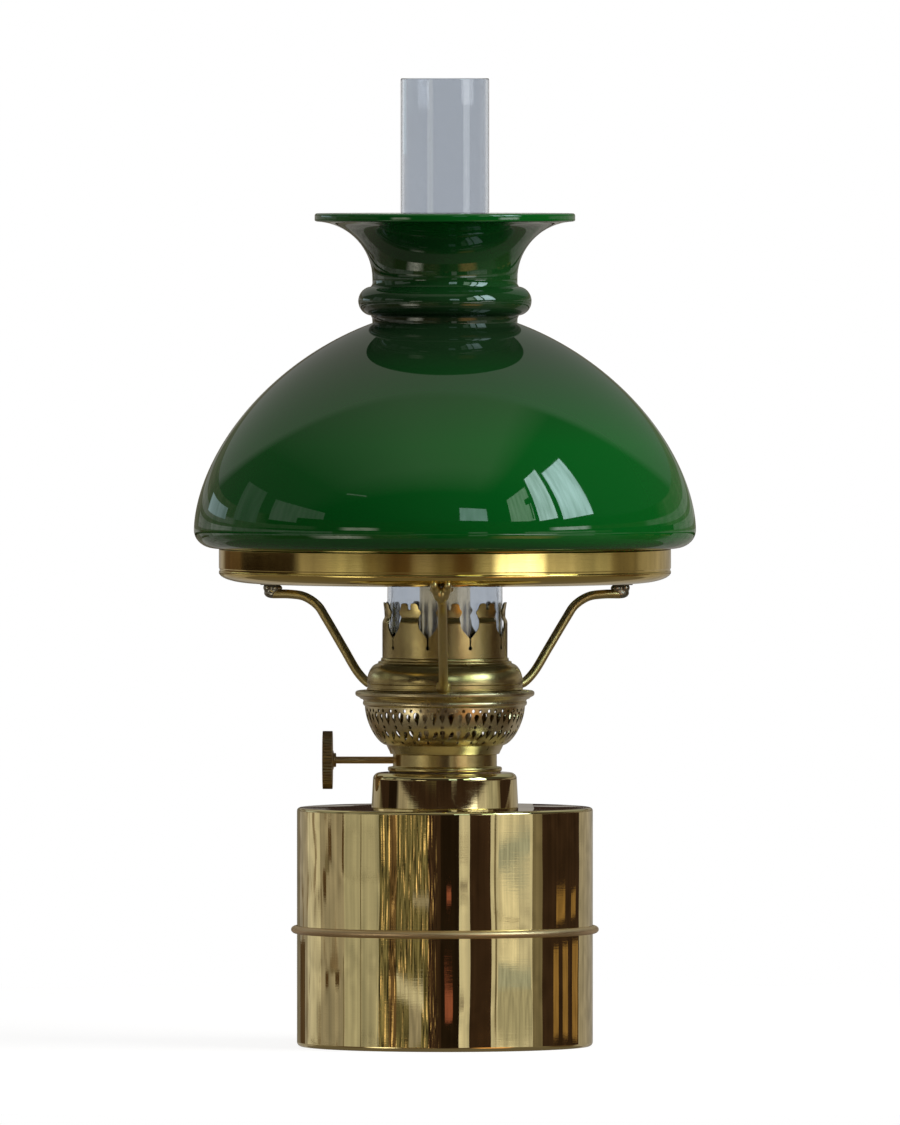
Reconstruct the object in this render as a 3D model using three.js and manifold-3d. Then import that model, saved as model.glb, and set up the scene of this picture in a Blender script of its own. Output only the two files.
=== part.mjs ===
// Brass table lamp for kerosene, with a round wick, a glass chimney and a green glass shade.
// Millimetres, +Z up. The origin is the centre of the tank's foot. The winder's knob points to -X,
// and the front of the lamp, with one arm of the shade holder, to -Y.
import * as THREE from 'three';
import { mergeVertices } from 'three/addons/utils/BufferGeometryUtils.js';
import Module from 'manifold-3d';

const wasm = await Module();
wasm.setup();

// Values that all the pieces share
const seatGap = 0.3;
const overrun = 2;
const sheet = 0.8;

// Tank
const tankRadius = 66.9;
const tankHeight = 108;
const tankFootCorner = 2;
const tankShoulderCorner = 1.5;
const tankFootWidth = 7;
const tankFloorRecess = 3;
const tankSeamHeight = 52.8;
const tankLap = 6;
const tankBeadHeight = 3.6;
const tankBeadRise = 2.4;

// Burner's thread, which the tank's neck is made to fit
const threadRadius = 23.5;
const threadLength = 12.4;
const threadClearance = 0.4;

// Collar on the tank, and the threaded neck inside it
const collarRadius = 33.2;
const collarTaper = 0.65;
const collarHeight = 15.8;
const collarCorner = 3;
const collarWall = 1;
const neckWall = 1.4;
const neckDepth = 4;
const neckFlangeWidth = 3.2;
const neckFlangeThickness = 1;

// Burner base
const washerThickness = 0.6;
const washerInset = 0.1;
const rimOverhang = 2.3;
const rimThickness = 2;
const bandHeight = 5.8;
const baseWall = 1.2;
const spigotStep = 1;
const spigotHeight = 3.2;

// Air basket, and the moulded flange round its mouth
const basketFootLip = 1.1;
const basketRadius = 36.2;
const basketBowlHeight = 21.6;
const basketRepeats = 28;
const basketFirstDrop = 4.5;
const basketBowlShares = [
  [0, 0],
  [0.03, 0.046],
  [0.155, 0.185],
  [0.5, 0.324],
  [0.83, 0.58],
  [1, 1],
];
const flangeRadius = 40.5;
const flangeHeight = 2.6;
const flangeChamfer = 0.5;
const undercutDepth = 2.3;
const undercutHeight = 1.5;
const mouldingRise = 0.9;
const mouldingHeight = 3;
const flangeSeatWidth = 1.5;
const tallDropHeight = 5.2;
const tallDropWidth = 2.3;
const tallDropLift = 16.6;
const lowDropHeight = 3;
const lowDropWidth = 1.6;
const lowDropLift = 9.9;
const dropBellyShare = 0.66;

// Wick, the two tubes that hold it, and the duct that feeds air to the inner one
const outerTubeRadius = 11.5;
const tubeWall = 0.5;
const tubeTopAboveLedge = 40.3;
const outerTubeTail = 17.2;
const wickThickness = 1.9;
const wickPlay = 0.3;
const innerTubePlay = 0.5;
const wickRise = 0.5;
const wickEnd = 20;
const wickLowering = 12;
const ductWidth = 10;
const ductHeight = 10;
const ductLift = 5;

// Wick winder
const shaftRadius = 1.6;
const shaftLift = 2.5;
const bushPlay = 0.15;
const bushWall = 0.4;
const bushLength = 5;
const bushInset = 1;
const knobRadius = 13.2;
const knobThickness = 4.5;
const knobReach = 55.6;
const knobTeeth = 24;
const knobToothDepth = 0.5;
const knobHubRadius = 3.2;
const knobHubLength = 1.6;
const knobDishDepth = 0.8;
const knobRimWidth = 2.4;
const wheelRadius = 4.5;
const wheelThickness = 1.6;
const wheelSpacing = 3.5;
const wheelTeeth = 10;
const wheelToothDepth = 1.1;
const wheelToothGap = 0.3;

// Gallery, which carries the chimney and the arms
const domeRadius = 35.3;
const domeBandHeight = 2.9;
const domeRise = 9;
const domeStepHeight = 2.6;
const domeStepWidth = 1.3;
const crownRim = 0.4;
const crownWall = 0.8;
const crownRoom = 1.5;
const crownPinchPlay = 0.5;
const crownHeight = 25.1;
const crownBendLift = 16.5;
const crownPinchLift = 18.3;
const crownCurl = 0.7;
const crownProngs = 9;
const crownNotchAngle = 24;
const notchKeyholeRadius = 0.7;
const notchKeyholeLift = 3.8;
const notchSlitWidth = 0.6;
const notchBottomLift = 9.4;
const notchShoulderLift = 13.8;
const notchWidth = 6.8;
const prongShoulderLift = 20.6;
const prongTipWidth = 9;
const prongDipWidth = 2.6;
const prongDipDepth = 3.2;

// Shade holder
const armCount = 3;
const armRadius = 2.25;
const armReach = 91;
const armRise = 39.75;
const armFootStraight = 2;
const armRouteShares = [
  [0.1, 0.02],
  [0.2, 0.15],
  [0.32, 0.39],
  [0.49, 0.73],
  [0.575, 0.88],
  [0.7, 0.975],
  [0.84, 1],
];
const armEndBeyondPad = 3;
const padLength = 9.6;
const padWidth = 10.4;
const padThickness = 3.4;
const padCorner = 2.6;
const ringRadius = 102.2;
const ringHeight = 15.45;
const ringCornerReach = 16.2;
const ringCornerRise = 4.9;
const ringBore = 80;
const ringWall = 1;

// Glass shade
const glassWall = 3;
const fitterRadius = 99.5;
const shadeRadius = 113.5;
const shadeUndersideRadius = 104;
const shadeBellyRise = 8.2;
const shadeDomeRise = 100.3;
const shadeDomeBulgeShare = 1.75;
const shadeNeckRadius = 32.8;
const shadeBeadRise = 6.4;
const shadeBeadHeight = 13.2;
const shadeBeadLift = 103.5;
const shadeMouthRadius = 58.9;
const shadeTrumpetHeight = 25.8;
const shadeTrumpetLift = 113.6;
const shadeLipHeight = 3.8;

// Glass chimney
const chimneyLength = 261.5;
const chimneyFootRadius = 26;
const chimneyWall = 1.5;
const chimneyFootHeight = 46;
const chimneyShoulderHeight = 10;
const chimneyWaistRadius = 17.5;
const chimneyTubeRadius = 20;
const chimneyFlareHeight = 28;

// Facets round each kind of piece
const wideSteps = 32;
const middleSteps = 28;
const smallSteps = 20;
const rodSteps = 12;
const armSides = 8;
const armSteps = 12;
const crownStepsPerProng = 3;

// Levels above the foot, and radii that follow from the sizes above
const burnerSeat = tankHeight + collarHeight;
const rimBottom = burnerSeat + washerThickness;
const rimTop = rimBottom + rimThickness;
const bandTop = rimTop + bandHeight;
const plateTop = bandTop + spigotHeight;
const basketTop = bandTop + basketBowlHeight + mouldingHeight + undercutHeight + flangeHeight;
const galleryFoot = basketTop + seatGap;
const ledgeTop = galleryFoot + domeBandHeight + domeRise + domeStepHeight;
const tubeTop = ledgeTop + tubeTopAboveLedge;
const crownRadius = chimneyFootRadius + crownRoom + crownWall;
const armFootLevel = galleryFoot + armRadius;
const padBottom = armFootLevel + armRise + armRadius + seatGap;
const ringBottom = padBottom + padThickness + seatGap;
const shadeUnderside = ringBottom + ringHeight + seatGap;
const neckBore = threadRadius + threadClearance;
const neckRadius = neckBore + neckWall;
const neckHole = neckRadius + seatGap;
const bandBore = threadRadius - baseWall;
const spigotRadius = threadRadius - spigotStep;
const outerTubeBore = outerTubeRadius - tubeWall;
const wickRadius = outerTubeBore - wickPlay;
const wickBore = wickRadius - wickThickness;
const innerTubeRadius = wickBore - innerTubePlay;
const shaftBack = wickRadius + wheelToothGap + wheelRadius;
const shaftLevel = rimTop + shaftLift;

const rad = THREE.MathUtils.degToRad;
const fullTurn = 2 * Math.PI;
const halfTurn = Math.PI;
const quarterTurn = Math.PI / 2;

// Shapes and solids

function point(radius, height) {
  return new THREE.Vector2(radius, height);
}

// Points on a round stretch of an outline, with both ends. Angles are in degrees, 0 outwards.
function arc(centreRadius, centreHeight, reach, rise, from, to, steps) {
  return Array.from({ length: steps + 1 }, (_, i) => {
    const angle = rad(from + ((to - from) * i) / steps);
    return point(centreRadius + reach * Math.cos(angle), centreHeight + rise * Math.sin(angle));
  });
}

// A turned piece. The outline runs up its outer side and back down its inner side, and is closed
// on itself unless it starts and ends on the axis. Facets start at the front.
function turned(outline, steps, phase = 0) {
  const last = outline[outline.length - 1];
  const onAxis = outline[0].x === 0 && last.x === 0;
  const loop = onAxis ? outline : [...outline, outline[0].clone()];
  return new THREE.LatheGeometry(loop, steps, phase, fullTurn).rotateX(quarterTurn);
}

function tube(radius, bore, from, to, steps) {
  return turned([point(bore, from), point(radius, from), point(radius, to), point(bore, to)], steps);
}

// A prism that runs outwards to the front, from one distance off the axis to another
function frontPrism(shape, from, to) {
  const options = { depth: to - from, bevelEnabled: false, steps: 1, curveSegments: 6 };
  return new THREE.ExtrudeGeometry(shape, options).translate(0, 0, from).rotateX(quarterTurn);
}

function block(low, high) {
  const size = high.map((value, i) => value - low[i]);
  const middle = high.map((value, i) => (value + low[i]) / 2);
  return new THREE.BoxGeometry(...size).translate(...middle);
}

// A rod or disc along X, turned about the X axis
function crossRod(radius, from, to, steps) {
  const length = to - from;
  const rod = new THREE.CylinderGeometry(radius, radius, length, steps);
  return rod.rotateZ(quarterTurn).translate(from + length / 2, 0, 0);
}

function shapeOf(corners) {
  return new THREE.Shape(corners.map(([x, y]) => new THREE.Vector2(x, y)));
}

// Corners of a toothed outline, two to each tooth
function toothedCorners(radius, depth, teeth) {
  return Array.from({ length: 2 * teeth }, (_, i) => {
    const angle = (i * halfTurn) / teeth;
    const reach = i % 2 === 0 ? radius : radius - depth;
    return [reach * Math.cos(angle), reach * Math.sin(angle)];
  });
}

function solidOf(geometry) {
  const bare = geometry.clone();
  bare.deleteAttribute('normal');
  bare.deleteAttribute('uv');
  const merged = mergeVertices(bare);
  const corners = merged.index.array;
  const kept = [];
  for (let i = 0; i < corners.length; i += 3) {
    const [a, b, c] = corners.slice(i, i + 3);
    if (a !== b && b !== c && c !== a) kept.push(a, b, c);
  }
  const vertProperties = new Float32Array(merged.attributes.position.array);
  const triVerts = new Uint32Array(kept);
  return new wasm.Manifold(new wasm.Mesh({ numProp: 3, vertProperties, triVerts }));
}

function geometryOf(solid) {
  const mesh = solid.getMesh();
  const geometry = new THREE.BufferGeometry();
  geometry.setAttribute('position', new THREE.BufferAttribute(mesh.vertProperties, 3));
  geometry.setIndex(new THREE.BufferAttribute(mesh.triVerts, 1));
  geometry.computeVertexNormals();
  return geometry;
}

function cut(geometry, cutters) {
  let solid = solidOf(geometry);
  for (const cutter of cutters) solid = solid.subtract(solidOf(cutter));
  return geometryOf(solid);
}

function joined(geometries) {
  let solid = solidOf(geometries[0]);
  for (const other of geometries.slice(1)) solid = solid.add(solidOf(other));
  return geometryOf(solid);
}

// Copies of a shape at equal angles round the axis, the first at the given angle from the front
function ringOf(geometry, count, firstAngle) {
  return Array.from({ length: count }, (_, i) => {
    return geometry.clone().rotateZ(rad(firstAngle) + (i * fullTurn) / count);
  });
}

// Tank

function tankLowerShell() {
  const footBore = tankRadius - tankFootCorner - tankFootWidth;
  const floorEdge = footBore - tankFloorRecess / 2;
  const corner = tankRadius - tankFootCorner;
  return turned([
    point(0, tankFloorRecess),
    point(floorEdge, tankFloorRecess),
    point(footBore, 0),
    ...arc(corner, tankFootCorner, tankFootCorner, tankFootCorner, -90, 0, 2),
    point(tankRadius, tankSeamHeight),
    point(tankRadius - sheet, tankSeamHeight),
    point(tankRadius - sheet, tankFootCorner),
    point(corner, sheet),
    point(footBore, sheet),
    point(floorEdge, tankFloorRecess + sheet),
    point(0, tankFloorRecess + sheet),
  ], wideSteps);
}

// Its lower edge is drawn in, and slides into the lower shell
function tankUpperShell() {
  const sleeve = tankRadius - sheet - seatGap;
  const shoulder = tankRadius - tankShoulderCorner;
  const seam = tankSeamHeight + seatGap;
  return turned([
    point(sleeve, tankSeamHeight - tankLap),
    point(sleeve, seam),
    point(tankRadius, seam),
    ...arc(shoulder, tankHeight - tankShoulderCorner, tankShoulderCorner, tankShoulderCorner, 0, 90, 2),
    point(neckHole, tankHeight),
    point(neckHole, tankHeight - sheet),
    point(shoulder, tankHeight - sheet),
    point(tankRadius - sheet, tankHeight - tankShoulderCorner),
    point(tankRadius - sheet, seam + sheet),
    point(sleeve - sheet, seam + sheet),
    point(sleeve - sheet, tankSeamHeight - tankLap),
  ], wideSteps);
}

// Half-round wire over the seam of the two shells
function tankBead() {
  const seat = tankRadius + seatGap;
  return turned(arc(seat, 0, tankBeadRise, tankBeadHeight / 2, -90, 90, 4), wideSteps);
}

function tankCollar() {
  const edge = collarRadius - collarTaper;
  const shoulder = edge - collarCorner;
  return turned([
    point(collarRadius, 0),
    ...arc(shoulder, collarHeight - collarCorner, collarCorner, collarCorner, 0, 90, 3),
    point(neckHole, collarHeight),
    point(neckHole, collarHeight - collarWall),
    point(shoulder, collarHeight - collarWall),
    point(edge - collarWall, collarHeight - collarCorner),
    point(collarRadius - collarWall, 0),
  ], middleSteps);
}

function collarThreadRing() {
  return turned([
    point(neckBore, -neckDepth),
    point(neckRadius, -neckDepth),
    point(neckRadius, 0),
    point(neckRadius + neckFlangeWidth, 0),
    point(neckRadius + neckFlangeWidth, neckFlangeThickness),
    point(neckRadius, neckFlangeThickness),
    point(neckRadius, collarHeight),
    point(neckBore, collarHeight),
  ], smallSteps);
}

// Burner

function burnerWasher() {
  return tube(neckRadius - washerInset, neckBore + washerInset, 0, washerThickness, smallSteps);
}

// Threaded cup, open below, with a rim on the collar and a top plate that holds the wick tube
function burnerBase() {
  const rim = rimThickness;
  const band = rim + bandHeight;
  const plate = band + spigotHeight;
  const tubeHole = outerTubeRadius + seatGap;
  const cup = turned([
    point(bandBore, -threadLength),
    point(threadRadius, -threadLength),
    point(threadRadius, 0),
    point(threadRadius + rimOverhang, 0),
    point(threadRadius + rimOverhang, rim),
    point(threadRadius, rim),
    point(threadRadius, band),
    point(spigotRadius, band),
    point(spigotRadius, plate),
    point(tubeHole, plate),
    point(tubeHole, plate - sheet),
    point(spigotRadius - sheet, plate - sheet),
    point(bandBore, band - sheet),
  ], middleSteps);
  const holeRadius = shaftRadius + bushPlay + bushWall + seatGap;
  const hole = crossRod(holeRadius, 0, threadRadius, rodSteps).translate(0, shaftBack, rim + shaftLift);
  return cut(cup, [hole, hole.clone().translate(-threadRadius, 0, 0)]);
}

// Pointed drop round the middle of its height, with its long point down
function dropShape(width, height) {
  const belly = (dropBellyShare - 0.5) * height;
  return shapeOf([
    [0, -height / 2],
    [width / 2, belly],
    [0, height / 2],
    [-width / 2, belly],
  ]);
}

// Outer line of the basket's bowl, moved inwards by a wall
function bowlLine(inset) {
  const foot = threadRadius + basketFootLip;
  return basketBowlShares.map(([radiusShare, heightShare]) => {
    const radius = foot + (basketRadius - foot) * radiusShare - inset;
    return point(radius, basketBowlHeight * heightShare);
  });
}

// Pierced bowl whose mouth is rolled into a moulded flange, the gallery's seat
function airBasket() {
  const moulding = basketBowlHeight + mouldingHeight;
  const undercut = moulding + undercutHeight;
  const top = undercut + flangeHeight;
  const mouldingRadius = basketRadius + mouldingRise;
  const undercutRadius = flangeRadius - undercutDepth;
  const seatBore = domeRadius - flangeSeatWidth;
  const footBore = spigotRadius + seatGap;
  const inner = bowlLine(sheet).slice(2).reverse();
  const bowl = turned([
    point(footBore, 0),
    ...bowlLine(0),
    point(mouldingRadius, basketBowlHeight + mouldingRise),
    point(mouldingRadius, moulding - mouldingRise),
    point(undercutRadius, moulding),
    point(flangeRadius - flangeChamfer, undercut),
    point(flangeRadius, undercut + flangeChamfer),
    point(flangeRadius, top - flangeChamfer),
    point(flangeRadius - flangeChamfer, top),
    point(seatBore, top),
    point(seatBore, top - sheet),
    point(flangeRadius - flangeChamfer - sheet, top - sheet),
    point(flangeRadius - flangeChamfer - sheet, undercut + sheet),
    ...inner,
    point(footBore, sheet),
  ], basketRepeats, rad(basketFirstDrop) + halfTurn / basketRepeats);
  const reach = [spigotRadius, flangeRadius];
  const tallDrop = frontPrism(dropShape(tallDropWidth, tallDropHeight), ...reach);
  const lowDrop = frontPrism(dropShape(lowDropWidth, lowDropHeight), ...reach);
  const between = basketFirstDrop + 180 / basketRepeats;
  return cut(bowl, [
    ...ringOf(tallDrop.translate(0, 0, tallDropLift), basketRepeats, basketFirstDrop),
    ...ringOf(lowDrop.translate(0, 0, lowDropLift), basketRepeats, between),
  ]);
}

// Outer wick tube, with a window at the back for the toothed wheels and one in front for the duct
function wickTubeOuter() {
  const body = tube(outerTubeRadius, outerTubeBore, plateTop - outerTubeTail, tubeTop, smallSteps);
  const wheelRoom = wheelSpacing + wheelThickness / 2 + seatGap;
  const backWindow = block(
    [-wheelRoom, 0, shaftLevel - wheelRadius],
    [wheelRoom, outerTubeRadius + overrun, shaftLevel + wheelRadius],
  );
  const ductSide = ductWidth / 2 + seatGap;
  const ductBottom = plateTop + ductLift;
  const frontWindow = block(
    [-ductSide, -outerTubeRadius - overrun, ductBottom - seatGap],
    [ductSide, 0, ductBottom + ductHeight + seatGap],
  );
  return cut(body, [backWindow, frontWindow]);
}

// Inner tube, closed below, which draws its air through a short duct to the front
function wickTubeInner() {
  const ductBottom = plateTop + ductLift;
  const ductTop = ductBottom + ductHeight;
  const side = ductWidth / 2;
  const mouth = Math.sqrt(outerTubeRadius ** 2 - side ** 2);
  const body = turned([
    point(0, ductBottom),
    point(innerTubeRadius, ductBottom),
    point(innerTubeRadius, tubeTop),
    point(0, tubeTop),
  ], smallSteps);
  const bore = turned([
    point(0, ductBottom + tubeWall),
    point(innerTubeRadius - tubeWall, ductBottom + tubeWall),
    point(innerTubeRadius - tubeWall, tubeTop + overrun),
    point(0, tubeTop + overrun),
  ], smallSteps);
  const duct = block([-side, -mouth, ductBottom], [side, 0, ductTop]);
  const ductBore = block(
    [-side + tubeWall, -mouth - overrun, ductBottom + tubeWall],
    [side - tubeWall, 0, ductTop - tubeWall],
  );
  return cut(joined([body, duct]), [bore, ductBore]);
}

// Cotton sleeve, split in front below the duct at its lowest setting, with its tail in the tank
function wick() {
  const body = tube(wickRadius, wickBore, wickEnd, tubeTop + wickRise, smallSteps);
  const splitSide = ductWidth / 2 + 2 * seatGap;
  const splitTop = plateTop + ductLift + ductHeight + wickLowering + 2 * seatGap;
  const split = block(
    [-splitSide, -wickRadius - overrun, wickEnd - overrun],
    [splitSide, 0, splitTop],
  );
  return cut(body, [split]);
}

// Winder. Its pieces lie along X on the shaft's axis.

// Where the shaft goes through the burner's band, measured along X
function bandCrossing(radius) {
  return Math.sqrt(radius ** 2 - shaftBack ** 2);
}

function bushGeometry() {
  const start = bandCrossing(bandBore) - bushInset;
  const end = start + bushLength;
  const outside = crossRod(shaftRadius + bushPlay + bushWall, start, end, rodSteps);
  const bore = crossRod(shaftRadius + bushPlay, start - overrun, end + overrun, rodSteps);
  return cut(outside, [bore]);
}

function winderShaft() {
  const knobBack = -knobReach + knobThickness;
  const insideKnob = knobBack - knobThickness / 2;
  return crossRod(shaftRadius, insideKnob, bandCrossing(bandBore) + bushLength / 2, rodSteps);
}

// Disc with a milled edge, a shallow dish in its face and a hub on the shaft
function winderKnob() {
  const face = -knobReach;
  const back = face + knobThickness;
  const outline = shapeOf(toothedCorners(knobRadius, knobToothDepth, knobTeeth));
  const disc = new THREE.ExtrudeGeometry(outline, { depth: knobThickness, bevelEnabled: false });
  disc.rotateY(quarterTurn).translate(face, 0, 0);
  const hub = crossRod(knobHubRadius, back - overrun, back + knobHubLength, rodSteps);
  const dish = crossRod(knobRadius - knobRimWidth, face - overrun, face + knobDishDepth, smallSteps);
  const insideKnob = back - knobThickness / 2 - seatGap;
  const bore = crossRod(shaftRadius + seatGap, insideKnob, back + knobHubLength + overrun, rodSteps);
  return cut(joined([disc, hub]), [dish, bore]);
}

// A toothed wheel off the middle is larger, to reach round the wick
function toothedWheel(offset) {
  const nearEdge = Math.max(Math.abs(offset) - wheelThickness / 2, 0);
  const wickThere = Math.sqrt(wickRadius ** 2 - nearEdge ** 2);
  const radius = shaftBack - wickThere - wheelToothGap;
  const outline = shapeOf(toothedCorners(radius, wheelToothDepth, wheelTeeth));
  const disc = new THREE.ExtrudeGeometry(outline, { depth: wheelThickness, bevelEnabled: false });
  disc.rotateY(quarterTurn).translate(offset - wheelThickness / 2, 0, 0);
  const start = offset - wheelThickness / 2 - overrun;
  const bore = crossRod(shaftRadius + seatGap, start, start + wheelThickness + 2 * overrun, rodSteps);
  return cut(disc, [bore]);
}

// Gallery

// Domed cap with a flat ledge inside, on which the chimney and the crown stand
function galleryDome() {
  const top = ledgeTop - galleryFoot;
  const ledgeRadius = crownRadius + crownRim;
  const neck = ledgeRadius + domeStepWidth;
  const ledgeBore = chimneyFootRadius - chimneyWall - crownRoom;
  const reach = domeRadius - neck;
  return turned([
    point(domeRadius, 0),
    ...arc(neck, domeBandHeight, reach, domeRise, 0, 90, 4),
    point(ledgeRadius, top),
    point(ledgeBore, top),
    point(ledgeBore, top - sheet),
    point(ledgeRadius - sheet, top - sheet),
    point(neck - sheet, domeBandHeight + domeRise - sheet),
    ...arc(neck, domeBandHeight, reach - sheet, domeRise - sheet, 45, 0, 1),
    point(domeRadius - sheet, 0),
  ], middleSteps);
}

// Gap between two prongs: a keyhole, a slit, a wide V and the prongs' rounded shoulders
function notchShape(pitch) {
  const slit = notchSlitWidth / 2;
  const key = notchKeyholeRadius;
  const shoulder = (pitch - prongTipWidth) / 2;
  const top = crownHeight + overrun;
  const tipRounding = prongDipWidth / 2;
  const right = [
    [key, notchKeyholeLift],
    [slit, notchKeyholeLift + key],
    [slit, notchBottomLift],
    [notchWidth / 2, notchShoulderLift],
    [notchWidth / 2, crownBendLift],
    [shoulder, prongShoulderLift],
    [shoulder, crownHeight - tipRounding],
    [shoulder + tipRounding, top],
  ];
  const left = right.map(([x, y]) => [-x, y]).reverse();
  return shapeOf([[0, notchKeyholeLift - key], ...right, ...left]);
}

function dipShape() {
  return shapeOf([
    [0, crownHeight - prongDipDepth],
    [prongDipWidth / 2, crownHeight - prongDipWidth / 2],
    [prongDipWidth / 2, crownHeight + overrun],
    [-prongDipWidth / 2, crownHeight + overrun],
    [-prongDipWidth / 2, crownHeight - prongDipWidth / 2],
  ]);
}

// Ring of sprung prongs that hold the chimney's foot
function chimneyCrown() {
  const pinch = chimneyFootRadius + crownPinchPlay + crownWall;
  const body = turned([
    point(crownRadius - crownWall, 0),
    point(crownRadius, 0),
    point(crownRadius, crownBendLift),
    point(pinch, crownPinchLift),
    point(pinch + crownCurl, crownHeight),
    point(pinch + crownCurl - crownWall, crownHeight),
    point(pinch - crownWall, crownPinchLift),
    point(crownRadius - crownWall, crownBendLift),
  ], crownProngs * crownStepsPerProng, rad(crownNotchAngle));
  const pitch = (fullTurn * pinch) / crownProngs;
  const inside = chimneyFootRadius - overrun;
  const outside = crownRadius + overrun;
  const notch = frontPrism(notchShape(pitch), inside, outside);
  const dip = frontPrism(dipShape(), inside, outside);
  const prongAngle = crownNotchAngle + 360 / crownProngs / 2;
  return cut(body, [
    ...ringOf(notch, crownProngs, crownNotchAngle),
    ...ringOf(dip, crownProngs, prongAngle),
  ]);
}

// Shade holder. Each arm and pad is made at the front and turned to its place.

function armGeometry() {
  const foot = domeRadius + seatGap;
  const reach = armReach - foot;
  const place = (along, up) => new THREE.Vector3(0, -foot - along, up);
  const route = new THREE.CatmullRomCurve3([
    place(0, 0),
    place(armFootStraight, 0),
    ...armRouteShares.map(([reachShare, riseShare]) => place(reach * reachShare, armRise * riseShare)),
    place(reach + armEndBeyondPad, armRise),
  ]);
  const section = new THREE.Shape();
  section.absarc(0, 0, armRadius, 0, fullTurn);
  const options = { steps: armSteps, curveSegments: armSides / 2, extrudePath: route };
  return new THREE.ExtrudeGeometry(section, options);
}

function padGeometry() {
  const shape = new THREE.Shape();
  const side = padWidth / 2;
  const inner = -armReach + padLength / 2;
  const outer = -armReach - padLength / 2;
  shape.moveTo(side, inner);
  shape.lineTo(-side, inner);
  shape.lineTo(-side, outer + padCorner);
  shape.quadraticCurveTo(-side, outer, -side + padCorner, outer);
  shape.lineTo(side - padCorner, outer);
  shape.quadraticCurveTo(side, outer, side, outer + padCorner);
  const options = { depth: padThickness, bevelEnabled: false, curveSegments: 3 };
  return new THREE.ExtrudeGeometry(shape, options);
}

// Dish that holds the shade's fitter, rounded under its wall
function shadeRing() {
  const corner = ringRadius - ringCornerReach;
  const reach = ringCornerReach - ringWall;
  const rise = ringCornerRise - ringWall;
  return turned([
    point(ringBore, 0),
    ...arc(corner, ringCornerRise, ringCornerReach, ringCornerRise, -90, 0, 4),
    point(ringRadius, ringHeight),
    point(ringRadius - ringWall, ringHeight),
    ...arc(corner, ringCornerRise, reach, rise, 0, -90, 4),
    point(ringBore, ringWall),
  ], wideSteps);
}

// Glass

// Line of the shade's dome from its belly to its neck, moved inwards by a wall
function domeLine(inset, steps) {
  const reach = shadeRadius - inset;
  const rise = shadeDomeRise - inset;
  const neck = shadeNeckRadius - inset;
  const end = Math.acos((neck / reach) ** (shadeDomeBulgeShare / 2));
  return Array.from({ length: steps + 1 }, (_, i) => {
    const angle = (end * i) / steps;
    const radius = reach * Math.cos(angle) ** (2 / shadeDomeBulgeShare);
    const height = rise * Math.sin(angle) ** (2 / shadeDomeBulgeShare);
    return point(radius, shadeBellyRise + height);
  });
}

// Height of the ring's inner face, above the ring's underside, where the fitter comes down on it
function ringFloorUnderFitter() {
  const reach = ringCornerReach - ringWall;
  const across = (fitterRadius - ringRadius + ringCornerReach) / reach;
  return ringCornerRise - (ringCornerRise - ringWall) * Math.sqrt(1 - across ** 2);
}

// Heights here are above the shade's flat underside, and the fitter reaches down into the ring
function glassShade() {
  const fitterDepth = ringHeight - ringFloorUnderFitter();
  const fitterBore = fitterRadius - glassWall;
  const turnIn = shadeRadius - shadeUndersideRadius;
  const trumpet = shadeMouthRadius - shadeNeckRadius;
  const neckBoreHere = shadeNeckRadius - glassWall;
  const lip = shadeTrumpetLift + shadeTrumpetHeight + shadeLipHeight + shadeBellyRise;
  const trumpetFoot = shadeTrumpetLift + shadeBellyRise;
  const bead = shadeBeadLift + shadeBellyRise;
  return turned([
    point(fitterBore, -fitterDepth),
    point(fitterRadius, -fitterDepth),
    point(fitterRadius, 0),
    ...arc(shadeUndersideRadius, shadeBellyRise, turnIn, shadeBellyRise, -90, -30, 2),
    ...domeLine(0, 7),
    ...arc(shadeNeckRadius, bead, shadeBeadRise, shadeBeadHeight / 2, -90, 90, 3),
    ...arc(shadeMouthRadius, trumpetFoot, trumpet, shadeTrumpetHeight, 180, 90, 4),
    point(shadeMouthRadius, lip),
    ...arc(shadeMouthRadius, trumpetFoot, trumpet + glassWall, lip - trumpetFoot, 105, 180, 2),
    point(neckBoreHere, bead),
    ...domeLine(glassWall, 4).reverse(),
    point(fitterBore, glassWall),
  ], wideSteps);
}

function glassChimney() {
  const shoulder = chimneyFootHeight + chimneyShoulderHeight;
  const drop = chimneyFootRadius - chimneyWaistRadius;
  const flare = shoulder + chimneyFlareHeight;
  const halfFlare = (chimneyTubeRadius - chimneyWaistRadius) / 2;
  const line = (inset) => [
    ...arc(chimneyWaistRadius, chimneyFootHeight, drop, chimneyShoulderHeight, 0, 90, 3).map(
      (p) => point(p.x - inset, p.y),
    ),
    point(chimneyWaistRadius + halfFlare - inset, shoulder + chimneyFlareHeight / 2),
    point(chimneyTubeRadius - inset, flare),
    point(chimneyTubeRadius - inset, chimneyLength),
  ];
  return turned([
    point(chimneyFootRadius, 0),
    ...line(0),
    ...line(chimneyWall).reverse(),
    point(chimneyFootRadius - chimneyWall, 0),
  ], smallSteps);
}

// Finishes

function finish(color, roughness, metalness) {
  return new THREE.MeshStandardMaterial({ color, roughness, metalness });
}

const polishedBrass = () => finish(0xb59a5c, 0.12, 1);
const satinBrass = () => finish(0xc4ad62, 0.35, 1);
const dullBrass = () => finish(0x8a7748, 0.4, 1);
const darkBrass = () => finish(0x5a4530, 0.5, 1);
const corkWasher = () => finish(0x8c6b45, 0.9, 0);
const cotton = () => finish(0xd8cfb8, 0.95, 0);

function greenGlass() {
  const glass = finish(0x0e4420, 0.05, 0);
  glass.side = THREE.DoubleSide;
  return glass;
}

function clearGlass() {
  const glass = finish(0xdfe4ee, 0.02, 0);
  glass.transparent = true;
  glass.opacity = 0.3;
  return glass;
}

// Assembly

function piece(group, name, geometry, material, place = [0, 0, 0]) {
  const mesh = new THREE.Mesh(geometry, material);
  mesh.name = name;
  mesh.position.set(...place);
  group.add(mesh);
  return mesh;
}

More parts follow.
